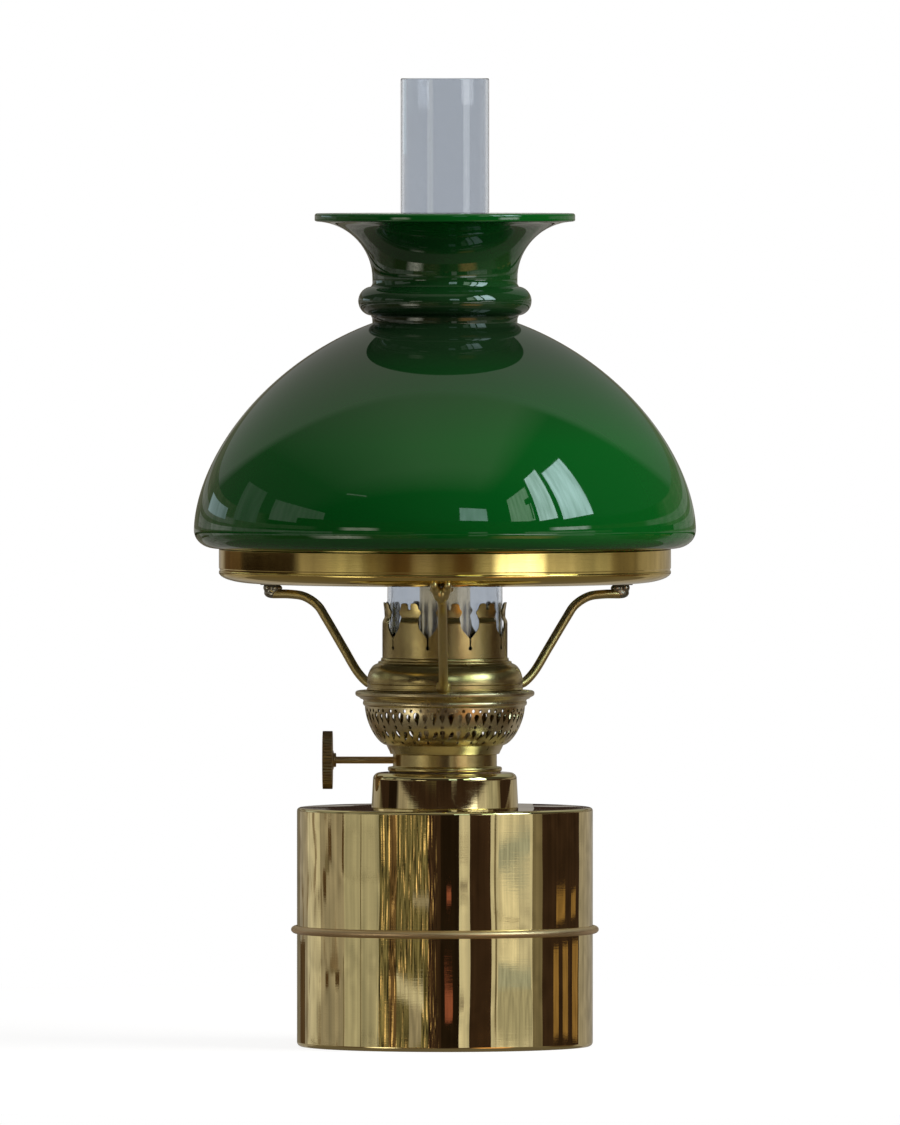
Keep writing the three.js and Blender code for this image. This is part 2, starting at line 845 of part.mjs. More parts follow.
function buildTank(lamp) {
  const tank = new THREE.Group();
  piece(tank, 'tank_lower_shell', tankLowerShell(), polishedBrass());
  piece(tank, 'tank_upper_shell', tankUpperShell(), polishedBrass());
  piece(tank, 'tank_bead', tankBead(), polishedBrass(), [0, 0, tankSeamHeight]);
  piece(tank, 'tank_collar', tankCollar(), polishedBrass(), [0, 0, tankHeight]);
  piece(tank, 'collar_thread_ring', collarThreadRing(), dullBrass(), [0, 0, tankHeight]);
  lamp.add(tank);
}

function buildBurner(lamp) {
  const burner = new THREE.Group();
  piece(burner, 'burner_washer', burnerWasher(), corkWasher(), [0, 0, burnerSeat]);
  piece(burner, 'burner_base', burnerBase(), dullBrass(), [0, 0, rimBottom]);
  piece(burner, 'air_basket', airBasket(), dullBrass(), [0, 0, bandTop]);
  piece(burner, 'wick_tube_outer', wickTubeOuter(), satinBrass());
  piece(burner, 'wick_tube_inner', wickTubeInner(), satinBrass());
  piece(burner, 'wick', wick(), cotton());
  lamp.add(burner);
}

function buildWinder(lamp) {
  const winder = new THREE.Group();
  winder.position.set(0, shaftBack, shaftLevel);
  piece(winder, 'winder_end_bush', bushGeometry(), dullBrass());
  piece(winder, 'winder_bush', bushGeometry(), dullBrass()).rotation.z = halfTurn;
  piece(winder, 'winder_shaft', winderShaft(), dullBrass());
  piece(winder, 'winder_knob', winderKnob(), darkBrass());
  piece(winder, 'toothed_wheel_left', toothedWheel(-wheelSpacing), dullBrass());
  piece(winder, 'toothed_wheel_middle', toothedWheel(0), dullBrass());
  piece(winder, 'toothed_wheel_right', toothedWheel(wheelSpacing), dullBrass());
  lamp.add(winder);
}

function buildHolder(lamp) {
  const gallery = new THREE.Group();
  piece(gallery, 'gallery_dome', galleryDome(), dullBrass(), [0, 0, galleryFoot]);
  piece(gallery, 'chimney_crown', chimneyCrown(), dullBrass(), [0, 0, ledgeTop]);
  ['front', 'right', 'left'].forEach((side, i) => {
    const arm = piece(gallery, `holder_arm_${side}`, armGeometry(), dullBrass(), [0, 0, armFootLevel]);
    const pad = piece(gallery, `arm_pad_${side}`, padGeometry(), dullBrass(), [0, 0, padBottom]);
    arm.rotation.z = (i * fullTurn) / armCount;
    pad.rotation.z = (i * fullTurn) / armCount;
  });
  piece(gallery, 'shade_ring', shadeRing(), satinBrass(), [0, 0, ringBottom]);
  lamp.add(gallery);
}

function buildGlass(lamp) {
  piece(lamp, 'glass_chimney', glassChimney(), clearGlass(), [0, 0, ledgeTop + seatGap]);
  piece(lamp, 'glass_shade', glassShade(), greenGlass(), [0, 0, shadeUnderside]);
}

const lamp = new THREE.Group();
buildTank(lamp);
buildBurner(lamp);
buildWinder(lamp);
buildHolder(lamp);
buildGlass(lamp);

export default lamp;
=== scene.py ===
"""Brass table lamp for kerosene: the fine surfaces and finishes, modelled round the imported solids.

Metres, +Z up. The tank's foot stands on the floor at the origin, the winder's knob points to -X,
and one arm of the shade holder points to the front, -Y.
"""

import math

import bpy
from bpy.props import FloatProperty, FloatVectorProperty, IntProperty, PointerProperty
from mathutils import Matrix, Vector


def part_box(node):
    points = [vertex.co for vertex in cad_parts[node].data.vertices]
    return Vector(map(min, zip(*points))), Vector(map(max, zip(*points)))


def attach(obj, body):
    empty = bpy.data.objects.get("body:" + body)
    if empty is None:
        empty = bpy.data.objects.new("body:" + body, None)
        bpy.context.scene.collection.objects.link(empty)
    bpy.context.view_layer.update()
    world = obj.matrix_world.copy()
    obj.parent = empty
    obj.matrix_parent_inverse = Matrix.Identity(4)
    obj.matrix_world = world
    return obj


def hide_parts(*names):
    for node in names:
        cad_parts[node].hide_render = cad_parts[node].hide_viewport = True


bl_info = {
    "name": "Kerosene Table Lamp",
    "version": (1, 0, 0),
    "blender": (4, 5, 0),
    "location": "3D View > Sidebar > Lamp",
    "description": "Models the brass lamp, its green shade and its chimney, piece by piece",
    "category": "Add Mesh",
}

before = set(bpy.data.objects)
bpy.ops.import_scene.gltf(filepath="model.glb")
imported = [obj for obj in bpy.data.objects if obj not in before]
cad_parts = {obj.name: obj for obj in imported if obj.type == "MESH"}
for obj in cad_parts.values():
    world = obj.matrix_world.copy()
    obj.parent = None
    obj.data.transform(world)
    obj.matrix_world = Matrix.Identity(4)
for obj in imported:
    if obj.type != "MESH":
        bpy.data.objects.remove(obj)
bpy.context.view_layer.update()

FULL_TURN = 2 * math.pi
MERGE = 1e-6

# Roundings of small edges, from a burr to one that a finger feels
BURR, CRISP, EASED, SOFT = 0.0001, 0.0002, 0.0003, 0.0004

# Radius of the hole for the burner, in the tank's top and in the collar
NECK_HOLE = 0.0256


def top(node):
    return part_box(node)[1].z


def foot(node):
    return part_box(node)[0].z


# Sizes and colours that a user would change


def length(name, description, default, least=0):
    return FloatProperty(
        name=name, description=description, default=default, min=least, unit="LENGTH", subtype="DISTANCE"
    )


def angle(name, description, degrees):
    return FloatProperty(name=name, description=description, default=math.radians(degrees), subtype="ANGLE")


def count(name, description, default, least):
    return IntProperty(name=name, description=description, default=default, min=least)


def colour(name, description, default):
    return FloatVectorProperty(
        name=name, description=description, default=(*default, 1), size=4, min=0, max=1, subtype="COLOR"
    )


class LampSizes(bpy.types.PropertyGroup):
    turned_steps: count("Steps round", "Faces round each turned piece", 168, 24)
    sheet: length("Brass sheet", "Thickness of the tank's and the burner's sheet brass", 0.0008)
    edge: length("Edge rounding", "Rounding of the cut edges of sheet brass", 0.00025)
    glass_wall: length("Shade wall", "Thickness of the shade's glass", 0.003)
    chimney_wall: length("Chimney wall", "Thickness of the chimney's glass", 0.0015)
    arm_radius: length("Arm radius", "Half the thickness of the shade holder's arms", 0.00205)
    knob_teeth: count("Knob teeth", "Teeth of the milled edge of the winder's knob", 56, 12)
    basket_repeats: count("Basket repeats", "Repeats of the air basket's pierced pattern", 28, 8)
    crown_prongs: count("Crown prongs", "Sprung prongs that hold the chimney", 9, 3)


class LampColours(bpy.types.PropertyGroup):
    polished_brass: colour("Polished brass", "Lacquered brass of the tank and its collar", (0.86, 0.71, 0.37))
    satin_brass: colour("Satin brass", "Brushed brass of the shade ring", (0.86, 0.65, 0.22))
    tube_brass: colour("Tube brass", "Pale brass of the wick tubes", (0.8, 0.64, 0.38))
    aged_brass: colour("Aged brass", "Duller brass of the burner, gallery and arms", (0.62, 0.49, 0.22))
    pierced_brass: colour("Pierced brass", "Pale brass of the air basket", (0.66, 0.55, 0.34))
    drawn_brass: colour("Drawn brass", "Drawn brass of the winder's shaft and the bead", (0.78, 0.56, 0.33))
    tarnish: colour("Tarnish", "Brown stains on the older brass", (0.19, 0.11, 0.045))
    dark_brass: colour("Dark brass", "Browned brass of the winder's knob", (0.46, 0.32, 0.18))
    # Real grey solder, and also painted shade: the side pads under the ring are coloured with it all over
    solder: colour("Solder", "Grey solder that holds the arms to the shade ring", (0.4, 0.38, 0.33))
    green_glass: colour("Green glass", "Outer layer of the shade", (0.0008, 0.095, 0.01))
    # Dark green that paints the shade on the upper dome and round the neck
    thick_green_glass: colour("Thick green glass", "Outer layer round the neck", (0.009, 0.03, 0.01))
    opal_glass: colour("Opal glass", "White lining of the shade", (0.78, 0.8, 0.72))
    chimney_glass: colour("Chimney glass", "Tint of the clear chimney", (0.58, 0.61, 0.65))
    cotton: colour("Cotton", "Woven wick", (0.72, 0.66, 0.54))
    burnt_cotton: colour("Burnt cotton", "Charred top of the wick", (0.03, 0.02, 0.012))
    washer: colour("Washer", "Cork and rubber washer under the burner", (0.2, 0.12, 0.06))
    washer_grain: colour("Washer grain", "Dark grains in the washer's cork", (0.05, 0.03, 0.02))


class LampStage(bpy.types.PropertyGroup):
    image_height: length("Image height", "Height that the picture shows at the lamp", 0.5085)
    centre_x: length("Centre X", "What the camera looks at, along X", 0.0023, least=-1)
    centre_z: length("Centre height", "What the camera looks at, above the foot", 0.2187)
    distance: length("Distance", "Camera to lamp", 10)
    elevation: angle("Elevation", "Camera above the horizon", 1.18)
    azimuth: angle("Azimuth", "Camera round from the front arm", 0.9)
    floor_radius: length("Floor radius", "Radius of the pale floor", 0.7)
    wall_radius: length("Wall radius", "Radius of the wall that only reflections show", 1.6)


# Selecting and drawing


def deselect():
    if bpy.context.mode != "OBJECT":
        bpy.ops.object.mode_set(mode="OBJECT")
    bpy.ops.object.select_all(action="DESELECT")


def select(obj):
    """Makes one object the only selected one, and the active one."""
    deselect()
    obj.select_set(True)
    bpy.context.view_layer.objects.active = obj


def edited(obj, operation, **settings):
    """Runs one operation of edit mode on the whole mesh."""
    select(obj)
    bpy.ops.object.mode_set(mode="EDIT")
    bpy.ops.mesh.select_all(action="SELECT")
    operation(**settings)
    bpy.ops.object.mode_set(mode="OBJECT")


def face_outwards(merge=False):
    """Turns the faces of the mesh in edit mode outwards, and leaves edit mode."""
    bpy.ops.mesh.select_all(action="SELECT")
    if merge:
        bpy.ops.mesh.remove_doubles(threshold=MERGE)
    bpy.ops.mesh.normals_make_consistent(inside=False)
    bpy.ops.object.mode_set(mode="OBJECT")


def apply_modifier(obj, kind, **settings):
    select(obj)
    bpy.ops.object.modifier_add(type=kind)
    modifier = obj.modifiers[-1]
    for name, value in settings.items():
        setattr(modifier, name, value)
    bpy.ops.object.modifier_apply(modifier=modifier.name)


def bevelled(obj, width, segments, sharper_than):
    """Rounds the edges whose faces meet at more than this angle, in degrees."""
    limit = math.radians(sharper_than)
    apply_modifier(obj, "BEVEL", width=width, segments=segments, limit_method="ANGLE", angle_limit=limit)


def arc(centre_r, centre_z, across, rise, start, end, steps=10, power=2):
    """Points (r, z) on a round stretch of an outline. Angles are in degrees, 0 outwards."""
    points = []
    for i in range(steps + 1):
        turned_by = math.radians(start + (end - start) * i / steps)
        c, s = math.cos(turned_by), math.sin(turned_by)
        r = math.copysign(abs(c) ** (2 / power), c) if abs(c) > 1e-9 else 0
        z = math.copysign(abs(s) ** (2 / power), s) if abs(s) > 1e-9 else 0
        points.append((centre_r + across * r, centre_z + rise * z))
    return points


def smooth_route(points, steps):
    """Points on a smooth curve through the given ones."""
    ends = [2 * points[0] - points[1], *points, 2 * points[-1] - points[-2]]
    route = []
    for a, b, c, d in zip(ends, ends[1:], ends[2:], ends[3:]):
        for i in range(steps):
            t = i / steps
            bend, sway = 2 * a - 5 * b + 4 * c - d, 3 * b - a - 3 * c + d
            route.append(0.5 * (2 * b + (c - a) * t + bend * t * t + sway * t**3))
    return [*route, points[-1]]


def drawn(name, points, closed=True):
    """A line drawn by extruding one vertex from point to point. It is left in edit mode."""
    deselect()
    bpy.ops.mesh.primitive_plane_add(size=0.001)
    line = bpy.context.object
    line.name = line.data.name = name
    bpy.ops.object.mode_set(mode="EDIT")
    bpy.ops.mesh.merge(type="CENTER")
    bpy.ops.transform.translate(value=points[0])
    route = [*points, points[0]] if closed else points
    for here, there in zip(route, route[1:]):
        bpy.ops.mesh.extrude_vertices_move(TRANSFORM_OT_translate={"value": Vector(there) - Vector(here)})
    if closed:
        bpy.ops.mesh.select_all(action="SELECT")
        bpy.ops.mesh.remove_doubles(threshold=MERGE)
    return line


def select_points(obj, points):
    """Selects the vertices at these places, in edit mode."""
    bpy.ops.mesh.select_all(action="DESELECT")
    bpy.ops.object.mode_set(mode="OBJECT")
    wanted = [Vector(p) for p in points]
    for v in obj.data.vertices:
        v.select = any((v.co - p).length < 5 * MERGE for p in wanted)
    bpy.ops.object.mode_set(mode="EDIT")


def turned(name, outline, steps=None, centre=(0, 0, 0), along_x=False):
    """A piece turned from an outline of (radius, height) or (radius, height, rounding).

    Along X, the outline is (radius, place along X), and centre is a point on that axis.
    """
    centre = Vector(centre)

    def place(corner):
        if along_x:
            return (corner[1], centre.y, centre.z + corner[0])
        return (centre.x + corner[0], centre.y, centre.z + corner[1])

    on_axis = outline[0][0] == 0 and outline[-1][0] == 0
    line = drawn(name, [place(c) for c in outline], closed=not on_axis)
    for rounding in sorted({c[2] for c in outline if len(c) > 2}):
        select_points(line, [place(c) for c in outline if c[2:] == (rounding,)])
        bpy.ops.mesh.bevel(offset_type="OFFSET", offset=rounding, segments=4, affect="VERTICES")
    bpy.ops.mesh.select_all(action="SELECT")
    bpy.ops.mesh.spin(
        steps=steps or bpy.context.scene.lamp_sizes.turned_steps, angle=FULL_TURN,
        center=centre, axis=(1, 0, 0) if along_x else (0, 0, 1),
    )
    face_outwards(merge=True)
    return line


def winder_centre():
    """A point on the winder shaft's axis, which lies along X."""
    low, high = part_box("winder_shaft")
    return Vector((0, (low.y + high.y) / 2, (low.z + high.z) / 2))


def on_shaft(name, outline, steps=48):
    """A piece turned about the winder's axis."""
    return turned(name, outline, steps, winder_centre(), along_x=True)


def slab(name, corners, offset):
    """A flat outline of points in space, filled and drawn out by an offset."""
    obj = drawn(name, corners)
    bpy.ops.mesh.select_all(action="SELECT")
    bpy.ops.mesh.edge_face_add()
    bpy.ops.mesh.extrude_region_move(TRANSFORM_OT_translate={"value": offset})
    face_outwards()
    return obj


def prism(name, outline, near, far):
    """A closed prism at the front. outline is (x, z), and near and far are distances off the axis."""
    return slab(name, [(x, -near, z) for x, z in outline], (0, near - far, 0))


def mirrored(half):
    """An outline from its right half. Points on the middle line aren't doubled."""
    return half + [(-x, z) for x, z in reversed(half) if x > 0]


def block(low, high):
    deselect()
    low, high = Vector(low), Vector(high)
    bpy.ops.mesh.primitive_cube_add(size=1, location=(low + high) / 2)
    cube = bpy.context.object
    cube.dimensions = high - low
    bpy.ops.object.transform_apply(location=True, rotation=True, scale=True)
    return cube


def turn(obj, degrees, centre=(0, 0, 0), axis="Z"):
    """Turns a mesh about an axis through a point, counter-clockwise from above for Z."""
    edited(
        obj, bpy.ops.transform.rotate, value=-math.radians(degrees), orient_axis=axis, center_override=centre
    )


def joined(objects, name):
    deselect()
    for obj in objects:
        obj.select_set(True)
    bpy.context.view_layer.objects.active = objects[0]
    if len(objects) > 1:
        bpy.ops.object.join()
    objects[0].name = objects[0].data.name = name
    return objects[0]


def ring_of(obj, copies, first_angle):
    """Copies of a piece at equal angles round the axis, as one object. Angles run from the front to +X."""
    ring = []
    for i in range(copies):
        select(obj)
        bpy.ops.object.duplicate(linked=False)
        ring.append(bpy.context.object)
        turn(ring[-1], first_angle + 360 * i / copies)
    bpy.data.objects.remove(obj)
    return joined(ring, "ring")


def combine(obj, other, operation):
    apply_modifier(obj, "BOOLEAN", operation=operation, solver="EXACT", object=other)
    bpy.data.objects.remove(other)


def cut(obj, cutter):
    combine(obj, cutter, "DIFFERENCE")


def finished(obj, body, node, slot, *surfaces, smooth_below=35):
    """Gives a piece its shading, its finishes and its body, and hides the imported part that it stands for."""
    select(obj)
    bpy.ops.object.shade_smooth_by_angle(angle=math.radians(smooth_below))
    apply_modifier(obj, "WEIGHTED_NORMAL", keep_sharp=True, weight=50)
    obj.data.materials.clear()
    for surface in surfaces:
        obj.data.materials.append(finish(surface))
    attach(obj, body)
    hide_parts(node)


# Nodes of a material. Noise scales are features to the metre, and bump heights are in metres


def add(tree, kind, inputs=None, **settings):
    """A node with its settings and inputs. An input is a value or another node's socket."""
    node = tree.nodes.new(kind)
    for name, value in settings.items():
        setattr(node, name, value)
    for name, value in (inputs or {}).items():
        if isinstance(value, bpy.types.NodeSocket):
            tree.links.new(value, node.inputs[name])
        else:
            node.inputs[name].default_value = value
    return node


def made_once(name, shader):
    """The material of this name, made when it is first asked for. shader(tree) gives its surface."""
    material = bpy.data.materials.get(name)
    if material is None:
        material = bpy.data.materials.new(name)
        material.use_nodes = True
        tree = material.node_tree
        tree.nodes.clear()
        add(tree, "ShaderNodeOutputMaterial", {"Surface": shader(tree)})
    return material


def own_place(tree):
    return add(tree, "ShaderNodeTexCoord").outputs["Object"]


def parted(tree, vector):
    """The three sockets of a vector: X, Y and Z."""
    return add(tree, "ShaderNodeSeparateXYZ", {0: vector}).outputs


def noise(tree, scale, stretch=(1, 1, 1), detail=4, roughness=0.5):
    """Noise on the piece's own coordinates, drawn out along the axes with a small stretch."""
    mapping = add(tree, "ShaderNodeMapping", {"Vector": own_place(tree), "Scale": stretch}).outputs["Vector"]
    inputs = {"Vector": mapping, "Scale": scale, "Detail": detail, "Roughness": roughness}
    return add(tree, "ShaderNodeTexNoise", inputs).outputs["Fac"]


def ranged(tree, value, low, high, to_low, to_high):
    inputs = {"Value": value, "From Min": low, "From Max": high, "To Min": to_low, "To Max": to_high}
    return add(tree, "ShaderNodeMapRange", inputs).outputs["Result"]


def mixed(tree, factor, a, b):
    return add(tree, "ShaderNodeMix", {0: factor, 6: a, 7: b}, data_type="RGBA").outputs[2]


def maths(tree, operation, a, b=0.0):
    return add(tree, "ShaderNodeMath", {0: a, 1: b}, operation=operation).outputs[0]


def product(tree, first, *others):
    for other in others:
        first = maths(tree, "MULTIPLY", first, other)
    return first


def scaled(tree, vector, factor):
    inputs = {0: vector, "Scale": factor}
    return add(tree, "ShaderNodeVectorMath", inputs, operation="SCALE").outputs[0]


def bump(tree, height, distance, normal=None):
    inputs = {"Height": height, "Distance": distance, "Strength": 1.0}
    if normal:
        inputs["Normal"] = normal
    return add(tree, "ShaderNodeBump", inputs).outputs["Normal"]


def emission(tree, tone, strength):
    return add(tree, "ShaderNodeEmission", {"Color": tone, "Strength": strength}).outputs[0]


def seen_directly(tree, path):
    """1 for what the camera sees, bare or through glass, and 0 for all other light."""
    return maths(tree, "MAXIMUM", path.outputs["Is Camera Ray"], path.outputs["Is Transmission Ray"])


# Finishes. Each function gives the inputs of its surface

def scratches(tree):
    """Fine curved lines, where polishing has marked the sheet: 1 on a line and 0 beside it."""
    field = noise(tree, 40, (1, 1, 2), 2)
    off_line = maths(tree, "ABSOLUTE", maths(tree, "SUBTRACT", field, 0.5))
    here = ranged(tree, noise(tree, 30, detail=2), 0.5, 0.62, 0, 1)
    return product(tree, ranged(tree, off_line, 0.001, 0.005, 1, 0), here)


def brass(tree, base, roughness, ripple, grain, stained):
    """Brass with stains, smears in its polish, ripples in the sheet and grain from the lathe.

    base names its colour, roughness is the least and the most, ripple and grain are heights in metres,
    and stained is the most that the stains cover.
    """
    colours = bpy.context.scene.lamp_colours
    stains = ranged(tree, noise(tree, 55, detail=8, roughness=0.62), 0.5, 0.78, 0, stained)
    tone = ranged(tree, noise(tree, 9, (1, 1, 0.35)), 0.35, 0.65, 0.92, 1.04)
    smears = ranged(tree, noise(tree, 38, (1, 1, 0.5), 6, 0.6), 0.3, 0.75, *roughness)
    dulled = 0.02
    waves = bump(tree, noise(tree, 13, (1, 1, 0.8), 2, 0.4), ripple)
    return {
        "Base Color": mixed(tree, stains, scaled(tree, getattr(colours, base)[:3], tone), colours.tarnish[:]),
        "Metallic": 1.0,
        "Roughness": maths(tree, "ADD", smears, product(tree, scratches(tree), dulled)),
        "Normal": bump(tree, noise(tree, 60, (1, 1, 60), 3), grain, waves),
    }


def polished_brass(tree):
    return brass(tree, "polished_brass", roughness=(0.012, 0.035), ripple=0.0009, grain=1e-6, stained=0.05)


def satin_brass(tree):
    return brass(tree, "satin_brass", roughness=(0.06, 0.12), ripple=0.0003, grain=3e-6, stained=0.05)


def rod_brass(tree):
    return brass(tree, "aged_brass", roughness=(0.3, 0.42), ripple=0.0001, grain=5e-7, stained=0.3)


def tube_brass(tree):
    return brass(tree, "tube_brass", roughness=(0.16, 0.28), ripple=0.0003, grain=6e-6, stained=0.25)


def pierced_brass(tree):
    return brass(tree, "pierced_brass", roughness=(0.2, 0.36), ripple=0.0002, grain=6e-6, stained=0.35)


def drawn_brass(tree):
    return brass(tree, "drawn_brass", roughness=(0.36, 0.5), ripple=0.0001, grain=6e-6, stained=0.2)


# Grey solder; on the side pads it also stands for painted shade under the ring
def solder(tree):
    return brass(tree, "solder", roughness=(0.18, 0.34), ripple=0.0001, grain=6e-6, stained=0.25)


def aged_brass(tree):
    return brass(tree, "aged_brass", roughness=(0.14, 0.3), ripple=0.0002, grain=6e-6, stained=0.5)


def dark_brass(tree):
    return brass(tree, "dark_brass", roughness=(0.25, 0.45), ripple=0.0002, grain=6e-6, stained=0.5)


def green_glass(tree):
    """Green glass over an opal lining. Painted shade darkens the green up the dome and round the neck."""
    colours = bpy.context.scene.lamp_colours
    height = parted(tree, own_place(tree))["Z"]
    rim = top("glass_shade")
    # Where each slope starts and ends, below the rim, and how much painted shade darkens the green there
    up_the_dome = (0.104, 0.06, 0, 1)
    up_the_neck = (0.048, 0.032, 1, 0.6)
    up_the_trumpet = (0.013, 0.003, 1, 0)
    slopes = (up_the_dome, up_the_neck, up_the_trumpet)
    painted_neck_shade = product(tree, *[ranged(tree, height, rim - low, rim - high, a, b) for low, high, a, b in slopes])
    # The painted shade, plus a little random cloud in the glass
    cloudy = maths(tree, "ADD", painted_neck_shade, ranged(tree, noise(tree, 7, detail=2), 0.3, 0.7, -0.07, 0.07))
    return {
        "Base Color": mixed(tree, cloudy, colours.green_glass[:], colours.thick_green_glass[:]),
        "Roughness": ranged(tree, noise(tree, 45, detail=5), 0.3, 0.8, 0.015, 0.05),
        "IOR": 1.62,
        "Normal": bump(tree, noise(tree, 14, detail=1), 0.0003),
    }


def opal_glass(tree):
    """White lining, a little cloudy."""
    cloud = ranged(tree, noise(tree, 20, detail=4), 0.3, 0.7, 0.95, 1.03)
    return {
        "Base Color": scaled(tree, bpy.context.scene.lamp_colours.opal_glass[:3], cloud),
        "Roughness": ranged(tree, noise(tree, 60, detail=5), 0.3, 0.8, 0.12, 0.22),
        "IOR": 1.5,
        "Normal": bump(tree, noise(tree, 16, detail=1), 0.0002),
    }


def ground_glass(tree):
    """End of the fitter, ground flat through green and opal."""
    colours = bpy.context.scene.lamp_colours
    greened = ranged(tree, noise(tree, 90), 0.3, 0.7, 0.1, 0.5)
    return {
        "Base Color": mixed(tree, greened, colours.opal_glass[:], colours.green_glass[:]),
        "Roughness": 0.55,
        "Normal": bump(tree, noise(tree, 2500, detail=3), 0.00002),
    }


def chimney_glass(tree):
    """Clear drawn glass, with faint smears and streaks along the tube."""
    return {
        "Base Color": bpy.context.scene.lamp_colours.chimney_glass[:],
        "Roughness": ranged(tree, noise(tree, 30, (1, 1, 0.3), 5), 0.45, 0.85, 0.0, 0.04),
        "IOR": 1.47,
        "Transmission Weight": 1.0,
        "Normal": bump(tree, noise(tree, 60, (1, 1, 0.04), 1), 0.00004),
    }


def wick_cotton(tree):
    """Woven cotton, darker and browner where it has burnt at its top."""
    colours = bpy.context.scene.lamp_colours
    place = own_place(tree)
    charred_from, charred_to = top("wick") - 0.004, top("wick") - 0.0005
    burnt = ranged(tree, parted(tree, place)["Z"], charred_from, charred_to, 0, 0.9)
    bands = {"Vector": place, "Scale": 160.0, "Distortion": 1.5}
    rows = add(tree, "ShaderNodeTexWave", bands, bands_direction="Z")
    threads = maths(tree, "ADD", rows.outputs["Fac"], noise(tree, 900, (1, 1, 0.15), 2))
    return {
        "Base Color": mixed(tree, burnt, colours.cotton[:], colours.burnt_cotton[:]),
        "Roughness": ranged(tree, noise(tree, 200), 0.3, 0.7, 0.8, 1.0),
        "Sheen Weight": 0.3,
        "Normal": bump(tree, threads, 0.00025),
    }


def washer_cork(tree):
    """Pressed cork and rubber, with dark grains."""
    colours = bpy.context.scene.lamp_colours
    cells = add(tree, "ShaderNodeTexVoronoi", {"Scale": 900.0}).outputs["Distance"]
    grains = ranged(tree, noise(tree, 400), 0.4, 0.7, 0, 0.6)
    return {
        "Base Color": mixed(tree, grains, colours.washer[:], colours.washer_grain[:]),
        "Roughness": 0.85,
        "Normal": bump(tree, cells, 0.00008),
    }


def finish(surface):
    """The material of a piece, named after surface, which gives the inputs of its shader."""
    def shader(tree):
        return add(tree, "ShaderNodeBsdfPrincipled", surface(tree)).outputs["BSDF"]

    return made_once(surface.__name__.replace("_", " ") + " finish", shader)


# Tank


class LAMP_OT_tank(bpy.types.Operator):
    """Models the two drawn shells of the tank and the bead over their seam"""

    bl_idname = "lamp.tank"
    bl_label = "Tank"

    def execute(self, context):
        s = context.scene.lamp_sizes
        sheet, edge = s.sheet, s.edge
        radius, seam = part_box("tank_lower_shell")[1].x, top("tank_lower_shell")
        height, inside = top("tank_upper_shell"), radius - sheet
        corner, foot_width, recess, step_rounding, foot_rounding = 0.002, 0.007, 0.003, 0.001, 0.0006
        bore = radius - corner - foot_width
        step = bore - recess / 2
        lower = turned("tank_lower", [
            (0, recess), (step, recess, step_rounding), (bore, 0, foot_rounding),
            *arc(radius - corner, corner, corner, corner, -90, 0, 6),
            (radius, seam, edge), (inside, seam, edge), (inside, corner),
            (radius - corner, sheet), (bore, sheet), (step, recess + sheet), (0, recess + sheet),
        ])
        finished(lower, "tank", "tank_lower_shell", "polished_brass", polished_brass)
        gap, lap, shoulder = 0.0003, 0.006, 0.0015
        sleeve, joint = inside - gap, seam + gap
        upper = turned("tank_upper", [
            (sleeve, seam - lap, edge), (sleeve, joint), (radius, joint, edge),
            *arc(radius - shoulder, height - shoulder, shoulder, shoulder, 0, 90, 6),
            (NECK_HOLE, height, edge), (NECK_HOLE, height - sheet, edge),
            (radius - shoulder, height - sheet), (inside, height - shoulder), (inside, joint + sheet),
            (sleeve - sheet, joint + sheet), (sleeve - sheet, seam - lap, edge),
        ])
        finished(upper, "tank", "tank_upper_shell", "polished_brass", polished_brass)
        low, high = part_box("tank_bead")
        middle, half, seat = (low.z + high.z) / 2, (high.z - low.z) / 2, radius + gap
        bead = turned("tank_seam_bead", arc(seat, middle, high.x - seat, half, -90, 90, 14))
        finished(bead, "tank", "tank_bead", "polished_brass", drawn_brass)
        return {"FINISHED"}


THREAD_PITCH = 0.0017
THREAD_SINK = 0.0001
THREAD_FLANK_SHARE = 0.42


def thread(name, root, crest, low, high, steps=72):
    """A helical ridge from a small triangle, wound by a Screw modifier. Its ends are closed."""
    half = THREAD_PITCH * THREAD_FLANK_SHARE
    ridge = drawn(name, [(root, 0, low), (crest, 0, low + half), (root, 0, low + 2 * half)])
    apply_modifier(
        ridge, "SCREW", axis="Z", angle=FULL_TURN, screw_offset=THREAD_PITCH,
        iterations=int((high - low) / THREAD_PITCH) - 1,
        steps=steps, render_steps=steps, use_merge_vertices=True, merge_threshold=MERGE,
    )
    bpy.ops.object.mode_set(mode="EDIT")
    bpy.ops.mesh.select_all(action="SELECT")
    bpy.ops.mesh.fill_holes(sides=3)
    face_outwards()
    return ridge


class LAMP_OT_collar(bpy.types.Operator):
    """Models the polished collar on the tank and the threaded neck inside it"""

    bl_idname = "lamp.collar"
    bl_label = "Collar"

    def execute(self, context):
        edge = context.scene.lamp_sizes.edge
        low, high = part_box("tank_collar")
        radius, taper, corner, wall = high.x, 0.00065, 0.003, 0.001
        shoulder = radius - taper - corner
        collar = turned("collar", [
            (radius, low.z, edge), *arc(shoulder, high.z - corner, corner, corner, 0, 90, 8),
            (NECK_HOLE, high.z, edge), (NECK_HOLE, high.z - wall, edge), (shoulder, high.z - wall),
            (radius - taper - wall, high.z - corner), (radius - wall, low.z, edge),
        ])
        finished(collar, "tank", "tank_collar", "polished_brass", polished_brass)
        low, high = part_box("collar_thread_ring")
        bore, outside, flange, flange_lift = 0.0245, 0.0253, high.x, 0.005
        flange_top = low.z + flange_lift
        ring = turned("threaded_neck", [
            (bore, low.z, edge), (outside, low.z, edge), (outside, flange_top - wall),
            (flange, flange_top - wall, edge), (flange, flange_top, edge), (outside, flange_top),
            (outside, high.z, edge), (bore, high.z, edge),
        ])
        crest, below, above = 0.0239, 0.001, 0.0005
        ridge = thread("neck_thread", bore + THREAD_SINK, crest, low.z + below, high.z - above)
        neck = joined([ring, ridge], "threaded_neck")
        finished(neck, "tank", "collar_thread_ring", "aged_brass", aged_brass)
        return {"FINISHED"}


# Burner


